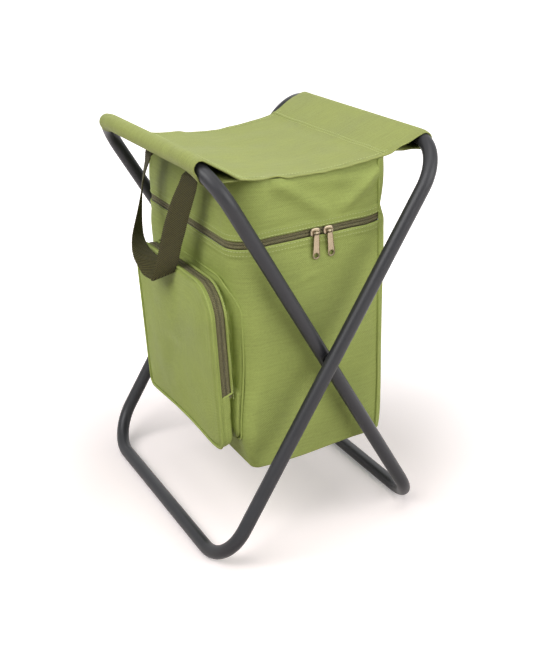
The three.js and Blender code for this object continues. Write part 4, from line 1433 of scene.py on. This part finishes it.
def pull_plate():
    """A die-cast pull: a long plate with a rounded end, a raised rim and a round hole."""
    angles = np.linspace(math.pi, 2 * math.pi, 30)
    end = PULL_END_RADIUS * np.column_stack([np.cos(angles), np.sin(angles)]) + (0, PULL_DROP)
    left = np.array(PULL_EDGE)
    outline = outline_ring(np.vstack([left, end, left[::-1] * (-1, 1)]), 72)
    angles = np.arctan2(outline[:, 1] - PULL_DROP, outline[:, 0])
    hole = PULL_HOLE_RADIUS * np.column_stack([np.cos(angles), np.sin(angles)]) + (0, PULL_DROP)
    way = unit_rows(outline - hole)
    levels = [(hole + way * step, height) for step, height in HOLE_RIM]
    levels += [(outline + way * step, height) for step, height in OUTER_RIM]
    rows = [np.insert(flat, 1, -height, axis=1) for flat, height in levels]
    rows += [np.insert(flat, 1, height, axis=1) for flat, height in levels[::-1]]
    return np.array(rows + rows[:1])


def lathe(half_profile, count, closed=False):
    """A turned shape about X whose other half mirrors the profile."""
    profile = [*half_profile, *((-x, radius) for x, radius in half_profile[::-1])]
    profile += half_profile[:1] * closed
    angles = np.linspace(0, 2 * math.pi, count, endpoint=False)
    rows = [np.column_stack([np.full(count, x), r * np.cos(angles), r * np.sin(angles)]) for x, r in profile]
    return np.array(rows)


def spun(grid, angle, first, second):
    """The points turned by an angle in the plane of two of their axes."""
    c, s = math.cos(angle), math.sin(angle)
    moved = grid.copy()
    moved[..., first] = grid[..., first] * c - grid[..., second] * s
    moved[..., second] = grid[..., first] * s + grid[..., second] * c
    return moved


def placed(grid, place, turn, lean=0.0):
    """A small part leaned to its side, turned about Z and carried to its place."""
    return spun(spun(grid, lean, 0, 2), turn, 0, 1) + np.array(place)


def pull_skin(place, turn, lean=0.0):
    """The pull with its eye, leaning sideways on its pin by the angle given."""
    skin = Skin()
    for grid in (pull_plate(), lathe(EYE_PROFILE, 24, closed=True)):
        skin.add_grid(placed(grid - (0, PIN_REACH, 0), place, turn, lean), wrap=True)
    return skin


def slider_body(length, height):
    """The slider's upper plate: a rounded shield with a raised middle."""
    lower = np.array(SLIDER_CORNER_SHARES) * (length / 2, height / 2)
    corners = np.vstack([lower, -lower, lower[:1]])
    outline = outline_ring(curve_through(corners, 200)[:-1], 56)
    return np.array([np.insert(outline * share, 1, depth, axis=1) for share, depth in SLIDER_LEVELS])


def slider_skin(place, turn, length, height):
    """The slider's plate with the two posts that carry its pin."""
    grids = [slider_body(length, height)]
    for side in (-1, 1):
        post = lathe(POST_PROFILE, 20) * (1, 1.25, 1)
        grids.append(post + (side * POST_PLACE, 0.5 - PIN_REACH, 0))
    grids.append(lathe(PIN_PROFILE, 16) - (0, PIN_REACH, 0))
    skin = Skin()
    for grid in grids:
        skin.add_grid(placed(grid, place, turn), wrap=True)
    return skin


def make_slider(name, place, turn, length, height, lean=0.0, folds=False):
    """One slider with its pull, each on its own body."""
    slider = slider_skin(place, turn, length, height).build(name + "_slider_cast", "zip_metal")
    settle(slider, name + "_slider", [name + "_zip_slider"], folds)
    pull = pull_skin(place, turn, lean).build(name + "_pull_cast", "zip_metal")
    settle(pull, name + "_pull", [name + "_zip_pull"], folds)


def make_sliders():
    for name, x, lean in (("left", -2.0, 0.0), ("right", 13.0, 0.11)):
        make_slider(name, (x, BAG_FRONT, float(zip_line(x))), 0, 10.5, 8.5, lean)
    low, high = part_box("pocket_zip_slider")
    middle = (low + high) / 2 / MM
    make_slider("pocket", (middle.x, low.y / MM - 0.3, middle.z), math.pi, 8.0, 10.5, folds=True)


# Carrying strap
STRAP_HALF = 0.9  # half its thickness
ANCHOR_PLACES = ((-83, 402.4), (-92, 403), (-99, 403.8), (-104, 403.4))  # of a sewn end, in X and Z
# Places on its two edges, from its front end down and round its fold, and from there up to its rear end
NEAR_EDGES = [
    (-110, -53.8, 399.6, -105, -78.2, 399.6),
    (-112.4, -52.2, 392, -105, -76, 391),
    (-118.4, -45.9, 373.7, -106.6, -68.3, 373.2),
    (-122.3, -40.6, 357.3, -109.2, -62.9, 357.2),
    (-125.5, -35.9, 340.7, -111.4, -57.8, 340.5),
    (-127.8, -32, 325, -113.8, -53.3, 325.9),
    (-130, -29, 310.4, -115.4, -49.1, 311.5),
    (-133.9, -29, 298, -115.3, -43, 302),
    (-138.4, -29.2, 286.4, -115.1, -37.1, 295.4),
]
FAR_EDGES = [
    (-137.1, -26.7, 285.3, -113.8, -34.6, 294.3),
    (-141.6, -15.7, 287.9, -117.6, -23.7, 297.5),
    (-143.2, -6.1, 294.4, -119.9, -10.7, 300.6),
    (-144.5, 1.3, 300.7, -121, 5.1, 302.3),
    (-143.4, 9, 307.2, -121.7, 16.7, 304.8),
    (-141.2, 15.2, 313.4, -121.1, 26.5, 307.8),
    (-138, 21.5, 318.8, -119.9, 35.4, 312.1),
    (-134.4, 26.3, 324.7, -118.1, 42.6, 317.7),
    (-130.1, 30.5, 332.9, -115.9, 49.1, 325.8),
    (-125.5, 34.3, 342.3, -113.3, 54.7, 335.3),
    (-121.3, 37.7, 351.9, -111, 59.6, 345),
    (-117.9, 39.3, 362.1, -109.3, 62.2, 355.3),
    (-115.7, 39.8, 372.6, -107.5, 63.1, 366.1),
    (-113.1, 36.9, 383.8, -106.5, 60.8, 377.6),
    (-110.8, 31.7, 394.9, -106.1, 56.2, 389),
    (-109.6, 30.7, 399.6, -105.4, 55.3, 399.6),
]


def roll_over(front, back, steps):
    """Rows that carry the webbing round its fold, from the front layer to the one behind it."""
    middle, half = (front + back) / 2, (front - back) / 2
    radius = np.linalg.norm(half[0])
    fold_line = unit_rows(front[-1] - front[0])
    over = unit_rows(np.cross(fold_line, half[0]))
    over = over if over[2] < 0 else -over
    turns = np.linspace(0, math.pi, steps)[1:-1]
    return np.array([middle + half * math.cos(turn) + over * radius * math.sin(turn) for turn in turns])


def webbing_rows(edges, count, shares):
    """Rows across the webbing, from pairs of points on its two edges."""
    line = curve_through(edges, count)
    left, right = line[:, None, :3], line[:, None, 3:]
    return left + (right - left) * (shares[None, :, None] + 1) / 2


def webbing(name, grid, shares):
    """A ribbon of webbing that thins at its two edges."""
    up = STRAP_HALF * np.sqrt(np.clip(1.04 - np.abs(shares) ** 8, 0.1, 1))
    return thick_sheet(name, grid, "strap_webbing", up[None, :], up[None, :], sharp=50)


def make_strap():
    shares = np.sin(np.linspace(-1, 1, 13) * math.pi / 2)
    near = webbing_rows(NEAR_EDGES, 80, shares)
    far = webbing_rows(FAR_EDGES, 110, shares)
    grid = np.concatenate([near, roll_over(near[-1], far[0], 11), far])
    settle(webbing("strap_ribbon", grid, shares), "strap", ["carry_strap"])
    selvedges = row("strap_selvedge", [grid[1:-1, 0], grid[1:-1, -1]], 2.1, (1.5, 1.3, 1.5), "strap_webbing")
    settle(selvedges, "strap")
    make_anchor("front", NEAR_EDGES[0], shares)
    make_anchor("rear", FAR_EDGES[-1], shares)


def make_anchor(name, end, shares):
    """The strap's sewn end, which comes out from under the seat cloth and turns down."""
    left, right = end[1], end[4]
    stations = [(x, left, z, x, right, z) for x, z in ANCHOR_PLACES] + [end]
    grid = webbing_rows(stations, 22, shares)
    anchor = webbing(f"strap_{name}_end", grid, shares)
    settle(anchor, "bag_lid", [f"strap_{name}_anchor"])


# Stage
CAMERA_PLACE = (-0.51767, -1.01773, 0.67293)
CAMERA_RIGHT = (0.88497, -0.46565, -0.00227)
CAMERA_UP = (0.18388, 0.34497, 0.92043)
CAMERA_BACK = (-0.42781, -0.81496, 0.39091)
IMAGE_HEIGHT = 665
FOCAL_PIXELS = 1081.7
FLOOR_REACH = 6.0
FLOOR_DROP = 0.0002  # so that the feet and the floor share no face
LAMPS = (  # places and aims, width, height and power, in metres and watts
    ("overhead", (0.0, -0.3, 2.1), (0, 0, 0.3), 1.2, 1.2, 11),
    ("left_box", (-1.4, -0.5, 1.6), (0, 0, 0.25), 1.6, 1.2, 33),
    ("right_box", (1.1, -2.0, 1.2), (0, 0, 0.25), 2.5, 1.7, 43),
    ("back_fill", (0.6, 2.0, 1.3), (0, 0, 0.25), 1.6, 1.2, 7),
)


def make_camera():
    data = bpy.data.cameras.new("camera")
    data.sensor_width = 36
    data.lens = FOCAL_PIXELS * data.sensor_width / IMAGE_HEIGHT
    camera = bpy.data.objects.new("camera", data)
    bpy.context.scene.collection.objects.link(camera)
    columns = [(*CAMERA_RIGHT, 0), (*CAMERA_UP, 0), (*CAMERA_BACK, 0), (*CAMERA_PLACE, 1)]
    camera.matrix_world = Matrix(columns).transposed()
    bpy.context.scene.camera = camera


def add_lamp(name, place, target, width, height, power):
    data = bpy.data.lights.new(name, "AREA")
    data.shape = "RECTANGLE"
    data.size, data.size_y = width, height
    data.energy = power
    lamp = bpy.data.objects.new(name, data)
    bpy.context.scene.collection.objects.link(lamp)
    lamp.location = place
    lamp.rotation_mode = "QUATERNION"
    lamp.rotation_quaternion = (Vector(target) - Vector(place)).to_track_quat("-Z", "Y")


def seen_ray(add):
    """1 for rays from the camera, from gloss and through glass."""
    path = add("ShaderNodeLightPath").outputs
    straight_on = {0: path["Is Camera Ray"], 1: path["Is Glossy Ray"]}
    seen = add("ShaderNodeMath", straight_on, operation="MAXIMUM")
    return add("ShaderNodeMath", {0: seen, 1: path["Is Transmission Ray"]}, operation="MAXIMUM")


def make_world():
    """A white world to the camera, and a faint fill light to the object."""
    world = bpy.data.worlds.new("studio")
    bpy.context.scene.world = world
    world.use_nodes = True
    add = partial(add_node, world.node_tree)
    strength = add("ShaderNodeMapRange", between(seen_ray(add), 0, 1, 0.07, 1.0))
    fill(world.node_tree.nodes["Background"], {"Color": (1, 1, 1, 1), "Strength": strength})


def floor_paint(hex_value):
    """Seamless studio paper: matt and nearly white. The camera sees it brighter than the object
    does, and brighter still away from the middle, so that only the object's shadow darkens it."""
    material, add, shader, space = new_material("studio_paper")
    fibres = add("ShaderNodeTexNoise", patches(space, 0.004, 2.0, 0.5))
    # The paper's pink tint is painted light that warms the object's shadow on it.
    paper = add("ShaderNodeValToRGB", {"Fac": fibres}, tones(hex_value, 0.99, 1.0))
    seen = seen_ray(add)
    mixed = {"Factor": seen, 6: shade(hex_value, 0.4), 7: paper}
    reach = add("ShaderNodeVectorMath", {0: space}, operation="LENGTH").outputs["Value"]
    far = add("ShaderNodeMapRange", between(reach, 0.20, 0.62, 0.24, 1.0))
    look = {
        "Base Color": add("ShaderNodeMix", mixed, data_type="RGBA").outputs[2],
        "Roughness": 1.0,
        "Specular IOR Level": 0.0,
        "Emission Color": (1, 1, 1, 1),
        "Emission Strength": add("ShaderNodeMath", {0: seen, 1: far}, operation="MULTIPLY"),
    }
    fill(shader, look)
    return material


def make_floor():
    mesh = bpy.data.meshes.new("floor")
    corners = [(x * FLOOR_REACH, y * FLOOR_REACH, 0) for x, y in ((-1, -1), (1, -1), (1, 1), (-1, 1))]
    mesh.from_pydata(corners, [], [(0, 1, 2, 3)])
    floor = link_mesh("floor", mesh)
    floor.location.z = -FLOOR_DROP
    mesh.materials.append(floor_paint(colours().floor))


def make_stage():
    scene = bpy.context.scene
    scene.view_settings.view_transform = "Standard"
    make_camera()
    make_world()
    make_floor()
    for name, *lamp in LAMPS:
        add_lamp(name, *lamp)


# Operators
class STOOL_OT_stage(bpy.types.Operator):
    """Makes the camera, the lamps, the floor and the finishes"""

    bl_idname = "stool.stage"
    bl_label = "Stage and Finishes"

    def execute(self, context):
        make_stage()
        make_finishes()
        TREES.update(tube=tube_tree(), row=row_tree())
        return {"FINISHED"}


class STOOL_OT_frame(bpy.types.Operator):
    """Makes the two loops of bent tube"""

    bl_idname = "stool.frame"
    bl_label = "Frame"

    def execute(self, context):
        make_frame()
        return {"FINISHED"}


class STOOL_OT_seat(bpy.types.Operator):
    """Makes the seat cloth with its two sleeves and seams"""

    bl_idname = "stool.seat"
    bl_label = "Seat"

    def execute(self, context):
        make_seat()
        return {"FINISHED"}


class STOOL_OT_lid(bpy.types.Operator):
    """Makes the bag's lid"""

    bl_idname = "stool.lid"
    bl_label = "Lid"

    def execute(self, context):
        make_lid()
        return {"FINISHED"}


class STOOL_OT_bag(bpy.types.Operator):
    """Makes the cooler bag, its liner and its piping"""

    bl_idname = "stool.bag"
    bl_label = "Bag"

    def execute(self, context):
        make_bag()
        make_piping()
        return {"FINISHED"}


class STOOL_OT_zip(bpy.types.Operator):
    """Makes the zip round the bag with its sliders and pulls"""

    bl_idname = "stool.zip"
    bl_label = "Zip"

    def execute(self, context):
        make_zip()
        make_sliders()
        return {"FINISHED"}


class STOOL_OT_pocket(bpy.types.Operator):
    """Makes the pocket on the bag's left face"""

    bl_idname = "stool.pocket"
    bl_label = "Pocket"

    def execute(self, context):
        make_pocket()
        return {"FINISHED"}


class STOOL_OT_strap(bpy.types.Operator):
    """Makes the carrying strap"""

    bl_idname = "stool.strap"
    bl_label = "Strap"

    def execute(self, context):
        make_strap()
        return {"FINISHED"}


OPERATORS = (
    STOOL_OT_stage,
    STOOL_OT_frame,
    STOOL_OT_seat,
    STOOL_OT_lid,
    STOOL_OT_bag,
    STOOL_OT_zip,
    STOOL_OT_pocket,
    STOOL_OT_strap,
)


class STOOL_PT_panel(bpy.types.Panel):
    """Lists the operators"""

    bl_idname = "STOOL_PT_panel"
    bl_label = "Folding Cooler Stool"
    bl_space_type = "VIEW_3D"
    bl_region_type = "UI"
    bl_category = "Stool"

    def draw(self, context):
        for operator in OPERATORS:
            self.layout.operator(operator.bl_idname)


CLASSES = (StoolSizes, StoolColours, *OPERATORS, STOOL_PT_panel)


def register():
    for cls in CLASSES:
        bpy.utils.register_class(cls)
    bpy.types.Scene.stool_sizes = PointerProperty(type=StoolSizes)
    bpy.types.Scene.stool_colours = PointerProperty(type=StoolColours)


def unregister():
    del bpy.types.Scene.stool_colours
    del bpy.types.Scene.stool_sizes
    for cls in reversed(CLASSES):
        bpy.utils.unregister_class(cls)


def main():
    register()
    bpy.ops.stool.stage()
    bpy.ops.stool.frame()
    bpy.ops.stool.seat()
    bpy.ops.stool.lid()
    bpy.ops.stool.bag()
    bpy.ops.stool.zip()
    bpy.ops.stool.pocket()
    bpy.ops.stool.strap()


if __name__ == "__main__":
    main()
